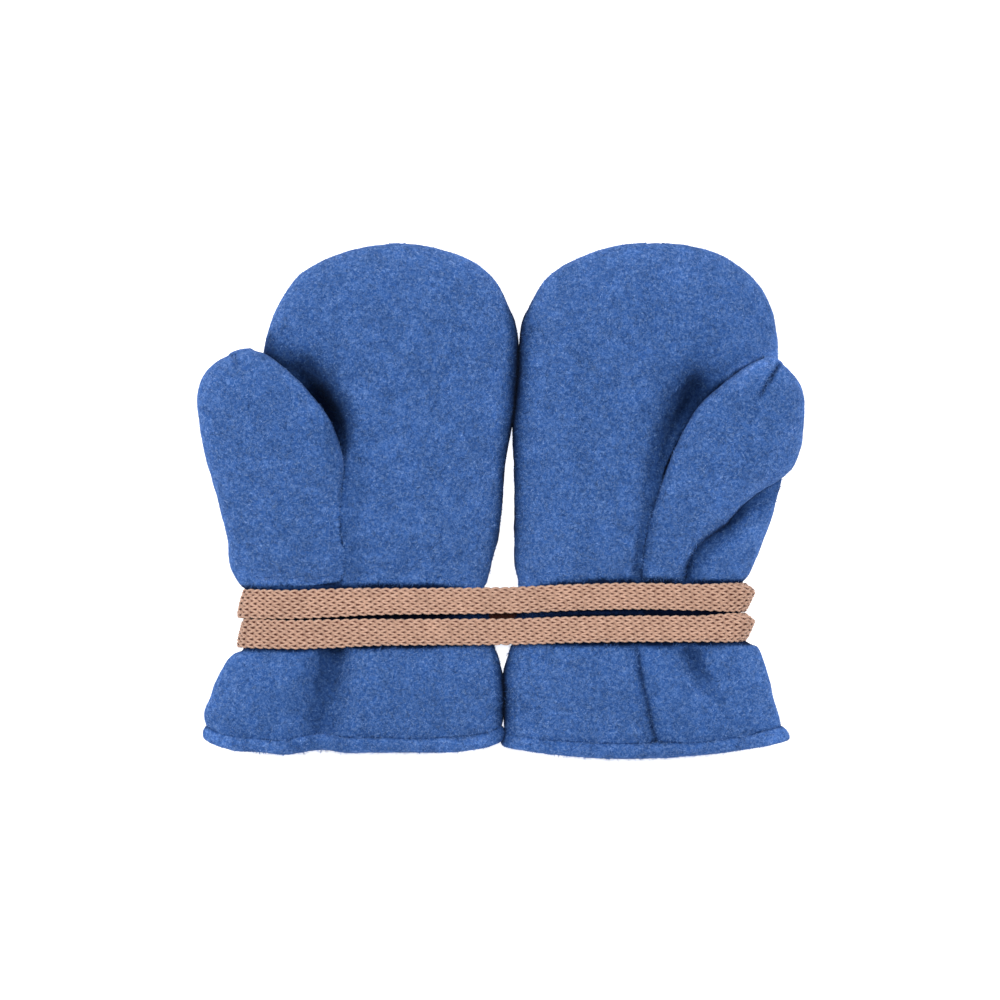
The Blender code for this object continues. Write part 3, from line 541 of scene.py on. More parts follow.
PAINTED_RIM_LIGHT = 0.42  # painted rim light and sheen: how much lighter the nap is painted where it turns away
RIM_TURN = 0.5  # how far it has turned where that is in full, from 0 facing up to 1 facing sideways
RIM_OPEN = (0.0, 0.06)  # how shut in a place is where the painted light on its rim starts to fade and is gone
# Loose fibres of the nap.
FIBRES = {"palm": 2.3, "back": 1.1, "thumb": 2.3, "hem": 2.2}  # to the square millimetre
FIBRE_LENGTH = (1.0, 2.4)
FIBRE_WIDTH = 0.15
FIBRE_TAPER = (0.5, 0.42, 0.12)  # half its width at the root, the middle and the end
FIBRE_CURL = 0.35  # how far it bends aside, as a share of its length
FIBRE_LIFT = 0.12  # how far it stands off
FIBRE_SUNK = 0.08  # its root below the cloth's points
FIBRES_FROM = (0.8, 2.0)  # heights over the floor between which the fibres begin
FIBRES_RISE = (0.15, 0.75)  # and how far up the cloth faces where they start to stand off and do so in full
STRAYS = 0.04  # share of the fibres that stand off much more
STRAY_LIFT = (0.2, 0.6)
FIBRE_TONES = (0.16, 0.6, 1.5)  # how much they differ in tone, and the darkest and the lightest
# Painted shade, by rays that fan out round the way a place faces.
SHADE_RAYS = 20
SHADE_REACH = 12.0
SHADE_LEAN = 0.6  # how far the rays lean up from the way the cloth faces
SHADE_START = 0.4  # how far out of the cloth they start
# Distances to the cord's middle line where its shadow stops being full and ends, and how strong it is.
CORD_SHADE = (4.5, 5.6, 0.92)
BETWEEN = (-32.0, 1.7, 0.9)  # the shadow between the cord's two bands: where, how wide and how dark it is
DARKEST = 0.04  # share of the light that reaches the deepest folds
SHADE_FALL = 0.16  # how shut in a place is where it is about a third as light as in the open

# The hem band.
HEM_POINTS = (420, 26)  # round the cuff and round the band
HEM_STITCH = 2.9  # from stitch to stitch
HEM_PUCKER = (0.05, 0.09, 0.1)  # how much thinner it is behind: all round, at stitches and where it is slack
HEM_SLACK = 9.0  # the size of its slack places
HEM_ROUND = 0.8  # how square its section is, where 1 is an ellipse
HEM_TUCK = SEAM + 0.5  # how far past its own length it reaches under the panels
# Waves of the left hem's edge: a place across, how far it sags and how widely. And where along they set in.
HEM_WAVES = ((-60.0, 0.55, 3.6), (-48.8, -0.75, 4.6))
HEM_WAVES_REACH = (56.0, 68.0)

# ---- cord ----
YARN = 0.35  # half the yarn's thickness
WALES = 10  # stitches round the cord
STITCH = 2.5  # length of a stitch along the cord
LOOP_HEIGHT = 3.3  # from a loop's foot to its head
LOOP_LEAN = 0.28  # how far a loop's sides bow, in stitches
LOOP_DEPTH = 0.26  # how far it dips and rises
UNEVEN = (0.03, 0.1, 0.03)  # how much stitches differ across, along and in depth
KNIT_WIDTH = 7.9  # over the stitches, as the cord lies pressed flat
# Half the width and the thickness over the yarn's middle.
KNIT_HALF = (KNIT_WIDTH / 2 - YARN - LOOP_DEPTH, CORD_THICK / 2 - YARN - LOOP_DEPTH + 0.1)
KNIT_ROUND = 0.75  # how square its section is, where 1 is an ellipse
ROUTE_POINTS = 1400  # along the cord's middle line
LOOP_POINTS = 13  # along the yarn, to the stitch
YARN_SIDES = 5
LINING_SIDES = 12  # of the plain tube inside the stitches
LINING_DEPTH = 0.15  # how far below the stitches it lies
# how light the lining is painted, as painted shade between the stitches
LINING_PAINTED_TONE = 0.06
SLANT = {"left": 0.27, "right": 0.5}  # how far the cord's folds at the wrists' sides slant
FOLD_IN = {"left": 1.1, "right": 0.3}  # how far in from the solid's the folds lie
CORNER = {"left": 0.0, "right": 3.6}  # how round their upper corners are
FOLD_NEAR = (60.0, 70.0)  # distances across from the middle where that sets in
# To the left and the right, how much wider than in the middle the cord lies, and between which distances.
WIDER = ((-1, 0.11, 25.0, 52.0), (1, 0.1, 54.0, 64.0))
# The cord is painted darker, as shade, where it is low between the mittens.
GAP_LOW = (5.0, 9.0)  # heights between which that ends
GAP_MIDDLE = 2.0
GAP_NEAR = (6.0, 9.0)  # and distances from the gap's middle
GAP_PAINTED_SHADE = 0.97


def hash_of(i, j, k, seed):
    """A number from -1 to 1 for each place on a grid of whole numbers, unlike its neighbours'."""
    h = (i * 73856093) ^ (j * 19349663) ^ (k * 83492791) ^ (seed * 2654435)
    h = (h ^ (h >> 13)) * 1274126177
    return ((h ^ (h >> 16)) & 0xFFFF) / 32767.5 - 1


def lumps(points, size, seed):
    """Smooth value noise from -1 to 1, with lumps of that size, at points of any shape (..., 3)."""
    p = points / size
    cell = np.floor(p).astype(np.int64)
    t = p - cell
    t = t * t * (3 - 2 * t)
    total = 0
    for corner in np.ndindex(2, 2, 2):
        weight = np.ones(p.shape[:-1])
        for a, d in enumerate(corner):
            weight = weight * (t[..., a] if d else 1 - t[..., a])
        total = total + weight * hash_of(*np.moveaxis(cell + corner, -1, 0), seed)
    return total


def normals_of(grid, inside):
    """Outward unit normals of a grid of points, where inside is the matching inner grid."""
    normal = unit(np.cross(np.gradient(grid, axis=1), np.gradient(grid, axis=0)))
    return normal * np.sign(np.sum(normal * (grid - inside), -1, keepdims=True) + 1e-9)


def added(name, data):
    """A new object in the scene."""
    obj = bpy.data.objects.new(name, data)
    bpy.context.scene.collection.objects.link(obj)
    return obj


def new_object(name, points, faces, material, tone):
    """A smooth mesh object from points in millimetres and faces. tone is how light each point is painted: its
    painted light and shade, and on loose fibres also their own tone.
    """
    mesh = bpy.data.meshes.new(name)
    points = np.asarray(points, np.float64).reshape(-1, 3) * 0.001
    faces = np.asarray(faces, np.int32)
    count, sides = faces.shape
    mesh.vertices.add(len(points))
    mesh.vertices.foreach_set("co", points.astype(np.float32).ravel())
    mesh.loops.add(count * sides)
    mesh.loops.foreach_set("vertex_index", faces.ravel())
    mesh.polygons.add(count)
    mesh.polygons.foreach_set("loop_start", np.arange(0, count * sides, sides, dtype=np.int32))
    mesh.update(calc_edges=True)
    mesh.polygons.foreach_set("use_smooth", np.ones(count, bool))
    mesh.attributes.new("tone", "FLOAT", "POINT").data.foreach_set("value", tone.astype(np.float32).ravel())
    mesh.materials.append(material)
    return added(name, mesh)


def cleaned(obj):
    """Merges doubled points, drops loose ones, turns all faces outward and keeps the sharp edges sharp."""
    work = bmesh.new()
    work.from_mesh(obj.data)
    bmesh.ops.remove_doubles(work, verts=work.verts, dist=1e-6)
    bmesh.ops.dissolve_degenerate(work, edges=work.edges, dist=1e-7)
    loose = [v for v in work.verts if not v.link_faces]
    bmesh.ops.delete(work, geom=loose, context="VERTS")
    bmesh.ops.recalc_face_normals(work, faces=work.faces)
    for face in work.faces:
        face.smooth = True
    for edge in work.edges:
        edge.smooth = edge.calc_face_angle(0.0) < 1.0
    work.to_mesh(obj.data)
    work.free()
    return obj


def cells(rows, columns, closed=False):
    """Quads of a grid as an array (rows - 1, columns - 1 or columns, 4) of point numbers."""
    i = np.arange(rows - 1)[:, None] * columns
    j = np.arange(columns if closed else columns - 1)[None, :]
    k = (j + 1) % columns
    return np.stack([i + j, i + k, i + columns + k, i + columns + j], -1)


def quads_of(piece):
    """The kept quads of a piece's grid, by point numbers."""
    return cells(*piece["grid"].shape[:2], piece["closed"])[piece["keep"]]


def shell(name, piece, material):
    """A closed sheet from a piece's two grids, over the cells kept, with a rim round every edge of them."""
    quads = quads_of(piece)
    outer, inner, tone = (piece[k] for k in ("grid", "inner", "tone"))
    size = tone.size
    edges = {}
    for quad in quads.tolist():
        for a, b in zip(quad, quad[1:] + quad[:1]):
            if (b, a) in edges:
                del edges[(b, a)]
            else:
                edges[(a, b)] = True
    rim = np.array([[b, a, size + a, size + b] for a, b in edges], np.int64).reshape(-1, 4)
    faces = np.concatenate([quads, quads[:, ::-1] + size, rim])
    points = np.concatenate([outer.reshape(-1, 3), inner.reshape(-1, 3)])
    return cleaned(new_object(name, points, faces, material, np.concatenate([tone.ravel(), tone.ravel()])))


def solid_of(grid, inside):
    """A search tree over a closed grid, and 1 if its normals point away from a place inside it, else -1."""
    quads = cells(*grid.shape[:2], True).reshape(-1, 4)
    tree = BVHTree.FromPolygons([Vector(p) for p in grid.reshape(-1, 3)], quads.tolist())
    place, normal, _, _ = tree.find_nearest(Vector(inside))
    return tree, -1.0 if normal.dot(Vector(inside) - place) > 0 else 1.0


def depth_in(solid, points, reach=12.0):
    """How far points lie inside a solid: positive inside, negative outside, and -reach far away."""
    tree, sign = solid
    flat = points.reshape(-1, 3)
    found = np.full(len(flat), -reach)
    for n, p in enumerate(flat):
        place, normal, _, distance = tree.find_nearest(Vector(p), reach)
        if place is not None:
            found[n] = -distance if normal.dot(Vector(p) - place) * sign > 0 else distance
    return found.reshape(points.shape[:-1])


def even_rows(mitten, u, step):
    """Row numbers that stand about step apart along the hand lobe at angle u."""
    fine = np.linspace(0.0, len(mitten["hand"]) - 1.0, 1500)
    far = length_along(hand_point(mitten, u, fine))
    return np.interp(np.linspace(0, far[-1], round(far[-1] / step) + 1), far, fine)


def facing_edges(y):
    """The edges of the two hand lobes that face one another, along them."""
    r = np.linspace(0, len(LEFT_HAND) - 1, 400)
    left, right = rows_at(LEFT_HAND, r), rows_at(RIGHT_HAND, r)
    return np.interp(y, left[0], left[2]), np.interp(y, right[0], right[1])


def touching(side, points):
    """How fully the cloth leans on the other mitten, at points of one mitten."""
    edge, other = facing_edges(points[..., 1])
    near = smooth((points[..., 0] - (edge + other) / 2) * TOWARD[side], *NEAR_OTHER)
    return near * np.interp(points[..., 1], *zip(*TOUCH))


def waved(side, points):
    """The left hem's edge sags on the cuff's bulge and draws up at its fold."""
    if side == "left":
        points = points.copy()
        sag = sum(depth * bell(points[..., 0] - x, width) for x, depth, width in HEM_WAVES)
        points[..., 1] -= sag * smooth(-points[..., 1], *HEM_WAVES_REACH)
    return points


def leaning(side, points):
    """Cloth near the other mitten leans on it."""
    edge, other = facing_edges(points[..., 1])
    gap = np.maximum((other - edge) / 2 + LEAN_OVER - PLUMP, 0.0)
    points = points.copy()
    points[..., 0] += TOWARD[side] * touching(side, points) * gap
    return points


def shut_in(pieces):
    """Works out how shut in each of the pieces' points is, from 0 in the open, by rays up and outward."""
    corners, quads, count = [], [], 0
    for piece in pieces:
        corners.append(piece["grid"].reshape(-1, 3))
        quads.append(quads_of(piece) + count)
        count += len(corners[-1])
    tree = BVHTree.FromPolygons(np.concatenate(corners).tolist(), np.concatenate(quads).tolist())
    number = np.arange(SHADE_RAYS) + 0.5
    far, turn = np.sqrt(number / SHADE_RAYS), number * math.pi * (3 - math.sqrt(5))
    fan = np.stack([far * np.cos(turn), far * np.sin(turn), np.sqrt(1 - far**2)], 1)
    for piece in pieces:
        points, normal = piece["grid"].reshape(-1, 3), piece["normal"].reshape(-1, 3)
        up = unit(normal + (0, 0, SHADE_LEAN))
        right = unit(np.cross((0.0, 1.0, 0.0), up))
        ways = fan @ np.stack([right, np.cross(up, right), up], 1)
        starts = (points + normal * SHADE_START).tolist()
        shut = np.zeros(len(points))
        for i in np.where(normal[:, 2] > -0.5)[0]:  # what faces the floor isn't shaded
            for way in ways[i].tolist():
                distance = tree.ray_cast(starts[i], way, SHADE_REACH)[3]
                if distance is not None:
                    shut[i] += (1 - distance / SHADE_REACH) / SHADE_RAYS
        piece["shut"] = shut.reshape(piece["tone"].shape)


def shaded(pieces, cord):
    """Paints light on the nap where it turns away, and paints shade into it where it is shut in, under the
    cord and between its bands.
    """
    shut_in(pieces.values())
    full, gone, strength = CORD_SHADE
    middle, width, depth = BETWEEN
    for node, piece in pieces.items():
        points, normal = piece["grid"], piece["normal"]
        blend = strokes(BLENDED[node.split("_")[0]], points, normal) + piece.get("groove", 0.0)
        shut = piece["shut"] * (1 - np.clip(blend, 0, 1))
        turned = np.clip((1 - np.abs(normal[..., 2])) / RIM_TURN, 0, 1) ** 0.8
        # painted shade in the folds, then the cord's painted shadow and the painted shadow between its bands
        dark = DARKEST + (1 - DARKEST) * np.exp(-shut / SHADE_FALL)
        dark *= 1 - strength * fading(edge_distance(points, cord), full, gone)
        dark *= 1 - depth * bell(points[..., 1] - middle, width)
        piece["tone"] = (piece["tone"] + PAINTED_RIM_LIGHT * turned * (1 - smooth(shut, *RIM_OPEN))) * dark


def creased(side, points, normal):
    """How far the cloth is pressed down by its creases, or up where that is negative, as on the back."""
    x, y = points[..., 0], points[..., 1]
    top, below = (smooth(way * normal[..., 2], *CREASE_FACING) for way in (1, -1))
    depth = np.zeros(x.shape)
    for line in LEFT_CREASES if side == "left" else RIGHT_CREASES:
        depth += trough(x, y, line) * top
    middle, half = BACK_SPAN[side]
    for line in BACK_CREASES:
        depth -= trough(x, y, [(middle + half * a, b, *rest) for a, b, *rest in line]) * below
    column = np.arange(x.shape[1])
    inward = smooth(np.minimum(column, column[-1] - column), 0, 6)  # the panels meet at their own edges
    return depth + (smoothed_field(depth, 4) - depth) * inward


def strokes(lines, points, normal):
    """The sum of strokes drawn on the cloth from above, where it faces up."""
    drawn = sum(trough(points[..., 0], points[..., 1], line) for line in lines)
    return drawn * smooth(normal[..., 2], -0.3, 0.0)


def smoothed_field(values, rounds):
    """A grid of values, evened out."""
    for _ in range(rounds):
        padded = np.pad(values, 1, mode="edge")
        beside = padded[:-2, 1:-1] + padded[2:, 1:-1] + padded[1:-1, :-2] + padded[1:-1, 2:]
        values = (beside + 4 * values) / 8
    return values


def edge_distance(points, edge):
    """Distance from each point to the nearest of the edge's points."""
    tree = KDTree(len(edge))
    for n, p in enumerate(edge.tolist()):
        tree.insert(p, n)
    tree.balance()
    found = np.array([tree.find(p)[2] for p in points.reshape(-1, 3).tolist()])
    return found.reshape(points.shape[:-1])


def root_depth(side, points):
    """How far the seam round the thumb's root is drawn in. The cloth is joined smoothly over the cord."""
    depth, way, steps = ROOT_SEAM[side]
    for less, start, end in steps:
        depth = depth - less * smooth(way * points[..., 1], start, end)
    return depth


def nap(points, seed):
    """The fleece's unevenness, as a height in millimetres."""
    return sum(height * lumps(points, size, seed + n) for n, (height, size) in enumerate(NAP_LUMPS))


def drawn_in(distance, seam):
    """How deep a seam presses the cloth at a distance from it, by its pairs of a depth and a width."""
    return sum(depth * bell(distance, width) for depth, width in seam)


def first_painted_light(side, points, normal, press=0.0, sink=0.0):
    """How light the nap is painted before its painted shade of the folds: by its strokes of painted light and
    shade, and darker, as painted shade, in its creases and seams.
    """
    tone = 1 + strokes(PAINTED_LIGHT_STROKES[side], points, normal)
    return tone - CREASE_PAINTED_SHADE * np.clip(np.abs(sink), 0, 3) - SEAM_PAINTED_SHADE * np.clip(press, 0, 1.2)


def kept(hidden, closed):
    """The cells of a grid whose corners aren't all hidden."""
    beside = np.roll(hidden, -1, 1)
    inside = hidden[:-1] & hidden[1:] & beside[:-1] & beside[1:]
    return ~(inside if closed else inside[:, :-1])


def panel_points(mitten, which):
    """Outer and inner grids of the palm or the back."""
    palm, from_right = which == "palm", mitten["thumb_side"] > 0
    rows = even_rows(mitten, (0.5 if palm else 1.5) * math.pi, GRAIN[which])
    longest, spans = 0.0, []
    for r in rows:
        edge = palm_end(mitten, r)
        if palm:
            span = (edge, math.pi) if from_right else (0.0, edge)
        else:
            span = (math.pi, 2 * math.pi + edge) if from_right else (edge, 2 * math.pi)
        spans.append(span)
        longest = max(longest, length_along(hand_point(mitten, np.linspace(*span, 60), r))[-1])
    columns = round(longest / GRAIN[which]) + 1
    angle = np.array([evenly(mitten, r, *span, columns) for r, span in zip(rows, spans)])
    return hand_point(mitten, angle, rows[:, None]), hand_point(mitten, angle, rows[:, None], INNER)


def thumb_grid(mitten, inset):
    """The thumb lobe as a grid, set in by inset, and its row numbers."""
    last = len(mitten["thumb"]) - 1
    fine = np.linspace(0, last, 600)
    far = length_along(thumb_point(mitten, 0.5 * math.pi, fine))
    t = np.interp(np.linspace(0, far[-1], round(far[-1] / GRAIN["thumb"])), far, fine)
    t = np.concatenate([t, last + np.array(TIP_ROWS)])
    v = np.linspace(0, 2 * math.pi, THUMB_POINTS, endpoint=False)
    return thumb_point(mitten, v, t[:, None], inset), t


def fibres(name, piece, density, material, seed):
    """Loose curled fibres on a piece's kept cells, with the cloth's painted light and shade there, each a
    tapered ribbon.
    """
    rng = np.random.default_rng(seed)
    quads = quads_of(piece)
    flat, out, light = piece["grid"].reshape(-1, 3), piece["normal"].reshape(-1, 3), piece["tone"].ravel()
    corner = flat[quads]
    area = np.linalg.norm(np.cross(corner[:, 2] - corner[:, 0], corner[:, 3] - corner[:, 1]), axis=1) / 2
    area *= smooth(corner[..., 2].mean(1), *FIBRES_FROM)
    count = int(area.sum() * density)
    chosen = quads[rng.choice(len(quads), count, p=area / area.sum())]
    a, b = rng.random((2, count, 1))
    weights = np.stack([(1 - a) * (1 - b), (1 - a) * b, a * b, a * (1 - b)], 1)
    root = (flat[chosen] * weights).sum(1)
    up = unit((out[chosen] * weights).sum(1))
    # each fibre takes the painted light and shade of the cloth at its root
    shade = (light[chosen] * weights[..., 0]).sum(1)
    spin = rng.normal(0, 1, (count, 3))
    ahead = unit(spin - up * np.sum(spin * up, 1, keepdims=True))
    across = np.cross(up, ahead)
    rise = smooth(up[:, 2:], *FIBRES_RISE)
    length = rng.uniform(*FIBRE_LENGTH, (count, 1)) * (0.5 + 0.5 * rise)
    curl = rng.normal(0, FIBRE_CURL, (count, 1))
    lift = np.abs(rng.normal(0, FIBRE_LIFT, (count, 1))) * rise
    stray = (rng.random((count, 1)) < STRAYS) * rng.uniform(*STRAY_LIFT, (count, 1)) * rise
    middle = root + ahead * length * 0.5 + across * curl * length * 0.35 + up * (0.04 + 0.06 * rise + lift)
    tip = up * (lift * 0.8 + stray - FIBRE_SUNK + 0.03 * rise)
    end = root + ahead * length * 0.9 + across * curl * length * 1.1 + tip
    root = root - up * FIBRE_SUNK
    lean = rng.normal(0, 0.35, (count, 1)) * rise
    points = []
    for place, wide in zip((root, middle, end), FIBRE_TAPER):
        edge = (across + up * lean) * FIBRE_WIDTH * wide
        points += [place - edge, place + edge]
    points = on_floor(np.stack(points, 1))
    first = (np.arange(count) * 6)[:, None, None]
    faces = (first + np.array([[0, 1, 3, 2], [2, 3, 5, 4]])).reshape(-1, 4)
    differ, *ends = FIBRE_TONES
    shade = shade * rng.normal(1.0, differ, count).clip(*ends)
    return new_object(name, points, faces, material, np.repeat(shade, 6))


def flat_cut(middle, keep, closed):
    """Width, length and area, in metres, of the flat piece whose kept cells are these: the widest row, the
    longest column and the sum of them."""
    a, b, c, d = np.moveaxis(middle.reshape(-1, 3)[cells(*middle.shape[:2], closed)], 2, 0)
    wide, long_ = np.linalg.norm(b - a, axis=-1), np.linalg.norm(d - a, axis=-1)
    area = np.linalg.norm(np.cross(c - a, d - b), axis=-1) / 2
    return (wide * keep).sum(1).max() * 1e-3, (long_ * keep).sum(0).max() * 1e-3, (area * keep).sum() * 1e-6


def on_floor(points):
    """The points, none of them below the floor."""
    points[..., 2] = np.maximum(points[..., 2], 0.0)
    return points


def panel(side, mitten, which, thumb):
    """The palm or the back, pressed by its creases and drawn in at its seams."""
    outer, inner = panel_points(mitten, which)
    normal = normals_of(outer, inner)
    seam_first = (side == "right") == (which == "palm")
    palm_edge, outline = (outer[:, k] for k in ((0, -1) if seam_first else (-1, 0)))
    sharp = SEAM_DEPTH[side] + (1 - SEAM_DEPTH[side]) * smooth(palm_edge[:, 1], *SHARP_FROM)
    press = drawn_in(edge_distance(outer, palm_edge), PALM_SEAM) * sharp[:, None]
    far = np.minimum(edge_distance(outer, outline), edge_distance(outer, outer[-1]))
    press = np.maximum(press, drawn_in(far, OUTLINE_SEAM) * (1 - touching(side, outer)))
    within = depth_in(thumb, outer)
    press += root_depth(side, outer) * bell(within, ROOT_WIDTH)
    cuff = edge_distance(outer, outer[0])
    press += drawn_in(cuff, CUFF_SEAM)
    sink = creased(side, outer, normal)
    calm = smooth(outer[..., 2], *FLOOR_CALM)
    height = (PLUMP + nap(outer, SEEDS[side])) * (0.25 + 0.75 * calm) - press * calm
    down = (sink * calm)[..., None] * (0, 0, 1)
    keep = kept(within > HIDDEN["panel"], False)
    return dict(
        grid=on_floor(waved(side, leaning(side, outer + normal * height[..., None] - down))),
        inner=waved(side, leaning(side, inner - down)),
        tone=first_painted_light(side, outer, normal, press, sink),
        cut=flat_cut((outer + inner) / 2, keep, False),
        groove=GROOVE[0] * bell(cuff, GROOVE[1]), normal=normal, keep=keep, closed=False,
    )


def thumb_piece(side, mitten, outer, t):
    """The thumb, from its outer grid and row numbers, drawn in at its root and its tip."""
    inner, _ = thumb_grid(mitten, INNER)
    rows = even_rows(mitten, math.pi / 2, LOBE_STEP)[:, None]
    lobe = hand_point(mitten, np.linspace(0, 2 * math.pi, 161)[:-1], rows)
    within = depth_in(solid_of(lobe, (lobe[..., 0].mean(), *INSIDE_HAND)), outer)
    normal = normals_of(outer, outer.mean(1, keepdims=True))
    x, y = outer[..., 0], outer[..., 1]
    press = root_depth(side, outer) * bell(within, ROOT_WIDTH)
    press += trough(x, y, TIP_SEAMS[side]) * smooth(normal[..., 2], 0.0, 0.4)
    height = PLUMP + nap(outer, SEEDS[side] + SEEDS["thumb"]) - press
    if side == "right":
        height += trough(x, y, SWELL) * smooth(normal @ SWELL_FACING, 0.1, 0.6)
    height *= (1 - smooth(t, t[-len(TIP_ROWS)], t[-1]))[:, None] * 0.9 + 0.1
    keep = kept(within > HIDDEN["thumb"], True)
    return dict(
        grid=outer + normal * height[..., None], inner=inner, tone=first_painted_light(side, outer, normal, press),
        cut=flat_cut((outer + inner) / 2, keep, True), normal=normal, keep=keep, closed=True,
    )


def fleece_pieces(side, mitten):
    """Palm, back, thumb and hem of one mitten, as grids."""
    outer, t = thumb_grid(mitten, 0.0)
    thumb = solid_of(outer, outer[len(outer) // 2].mean(0))
    made = {which: panel(side, mitten, which, thumb) for which in ("palm", "back")}
    return made | {"thumb": thumb_piece(side, mitten, outer, t), "hem": hem_piece(side, mitten)}


def hem_piece(side, mitten):
    """The turned-up band as a grid, with the puckers that its stitches draw in."""
    count, sides = HEM_POINTS
    u = evenly(mitten, 0.0, 0.0, 2 * math.pi, count + 1)[:-1]
    proud = (HEM_THICK - WALL) / 2
    outside, inside = (hand_point(mitten, u, 0.0, inset) for inset in (-proud, WALL + proud))
    out = unit(hand_point(mitten, u, 0.0, WALL / 2) - hand_point(mitten, u, 0.1, WALL / 2))
    through = (outside - inside) / 2
    centre = (outside + inside) / 2 + out * (SEAM + HEM_LENGTH / 2)
    pucker = 0.5 + 0.5 * np.cos(2 * math.pi * length_along(centre) / HEM_STITCH)
    slack = 0.5 + 0.5 * lumps(centre, HEM_SLACK, SEEDS["slack"])
    plain, stitched, loose = HEM_PUCKER
    rings = []
    for angle in np.linspace(0, 2 * math.pi, sides, endpoint=False):
        thick, long_ = power(math.cos(angle), HEM_ROUND), power(math.sin(angle), HEM_ROUND)
        narrow = 1 - smooth(-long_, 0.1, 0.9) * (plain + stitched * pucker * slack + loose * slack)
        stretch = HEM_LENGTH / 2 + (HEM_TUCK if long_ < 0 else 0.0)
        rings.append(centre + through * (thick * narrow)[:, None] + out * (long_ * stretch))
    points = np.stack([*rings, rings[0]], 1)
    points = np.concatenate([points, points[:1]])
    normal = unit(points - np.concatenate([centre, centre[:1]])[:, None])
    points = points + normal * (nap(points, SEEDS["hem"])[..., None] * 0.8)
    points = on_floor(waved(side, leaning(side, points)))
    keep, tone = np.ones((count, sides), bool), first_painted_light(side, points, normal)
    return dict(grid=points, normal=normal, keep=keep, closed=False, tone=tone, groove=GROOVE[0])


def cord_route():
    """The cord's middle line, close-set and smooth."""
    path = cord_path()
    for _ in range(2):
        path[1:-1, 1] = (path[:-2, 1] + 2 * path[1:-1, 1] + path[2:, 1]) / 4
    return np.array(rows_at(path, np.linspace(0, len(path) - 1, ROUTE_POINTS))).T


def cord_frame(path):
    """The ways across the cord's width and through its thickness, along its middle line."""
    ahead = unit(np.gradient(path, axis=0))
    wide = unit(np.array([0, 1.0, 0]) - ahead * ahead[:, 1:2])
    return wide, np.cross(ahead, wide)


def slanted(place, offset):
    """How far aside points lie that stand that far across the cord, since its folds at the sides slant."""
    left = place[:, 0] < 0
    slant, inward, round_ = (np.where(left, k["left"], k["right"]) for k in (SLANT, FOLD_IN, CORNER))
    inward = inward + round_ * smooth(offset, 0.3 * KNIT_WIDTH / 2, KNIT_WIDTH / 2)
    return (slant * offset + np.where(left, inward, -inward)) * smooth(np.abs(place[:, 0]), *FOLD_NEAR)


def spread(place):
    """How much wider than elsewhere the cord lies pressed flat towards the folds at the wrists' sides."""
    return 1 + sum(more * smooth(way * place[:, 0], near, far) for way, more, near, far in WIDER)


def stitches(courses):
    """Where the yarn runs: places round the cord in stitches, and along it and out of it in millimetres."""
    tau = np.arange(LOOP_POINTS * WALES * courses) / LOOP_POINTS
    phase, stitch = 2 * math.pi * tau, np.floor(tau).astype(int)
    uneven = np.random.default_rng(SEEDS["yarn"]).normal(0, 1, (3, stitch.max() + 2))
    wander = uneven[:, stitch] * (1 - (tau - stitch)) + uneven[:, stitch + 1] * (tau - stitch)
    wander = wander * np.array(UNEVEN)[:, None]
    across = tau + LOOP_LEAN * np.sin(2 * phase) + wander[0]
    along = LOOP_HEIGHT / 2 + tau / WALES * STITCH - LOOP_HEIGHT / 2 * (np.cos(phase) - 1) + wander[1]
    return across, along, -LOOP_DEPTH * np.cos(2 * phase) + wander[2]


def knitted_line(path, courses):
    """The yarn's middle line, the way out of the cord along it, and how light it is painted there: painted
    shade where the yarn dips and where it lies low between the mittens.
    """
    far = length_along(path)
    angle = np.linspace(0, 2 * math.pi, 721)
    section = power(np.stack([np.cos(angle), np.sin(angle)], -1), KNIT_ROUND) * KNIT_HALF
    round_, tangent = length_along(section), np.gradient(section, axis=0)
    across, along, depth = stitches(courses)
    s, w = np.clip(along, 0, far[-1]), across * (round_[-1] / WALES) % round_[-1]
    base, side_, up = (
        np.stack([np.interp(s, far, q[:, k]) for k in range(3)], -1) for q in (path, *cord_frame(path))
    )
    a, b, ta, tb = (np.interp(w, round_, q[:, k]) for q in (section, tangent) for k in (0, 1))
    size = np.hypot(ta, tb)
    na, nb = tb / size, -ta / size
    out = side_ * na[:, None] + up * nb[:, None]
    depth = depth * (0.4 + 0.6 * np.abs(nb))
    line = base + side_ * (a * spread(base))[:, None] + up * b[:, None] + out * depth[:, None]
    line[:, 0] += slanted(base, a)
    # painted shade where the yarn dips into the cord
    shade = 1.0 - 0.5 * smooth(-depth, -0.15, LOOP_DEPTH)
    dark = GAP_PAINTED_SHADE * fading(line[:, 2], *GAP_LOW) * fading(np.abs(line[:, 0] - GAP_MIDDLE), *GAP_NEAR)
    return line, out, shade * (1 - dark)


def knitted_cord(material):
    """The cord as one yarn knitted round and round, in three lengths, over the stitches of its far side."""
    path = cord_route()
    courses = int((length_along(path)[-1] - 2 * LOOP_HEIGHT) / STITCH)
    line, out, shade = knitted_line(path, courses)
    step = unit(np.gradient(line, axis=0))
    first = unit(out - step * np.sum(out * step, 1, keepdims=True))
    second = np.cross(step, first)
    turn = np.linspace(0, 2 * math.pi, YARN_SIDES, endpoint=False)[:, None]
    pieces = []
    bounds = np.linspace(0, courses, 4).round().astype(int) * WALES * LOOP_POINTS
    for n, (start, end) in enumerate(zip(bounds, bounds[1:])):
        part = slice(start, min(end + 1, len(line)))
        ring = first[part, None] * np.cos(turn) + second[part, None] * np.sin(turn)
        points = line[part, None] + ring * YARN
        faces = cells(len(points), YARN_SIDES, True).reshape(-1, 4)
        tone = np.repeat(shade[part], YARN_SIDES)
        pieces.append(new_object(f"cord_knit_{n + 1}", points, faces, material, tone))
    return [*pieces, cord_lining(path, material)]


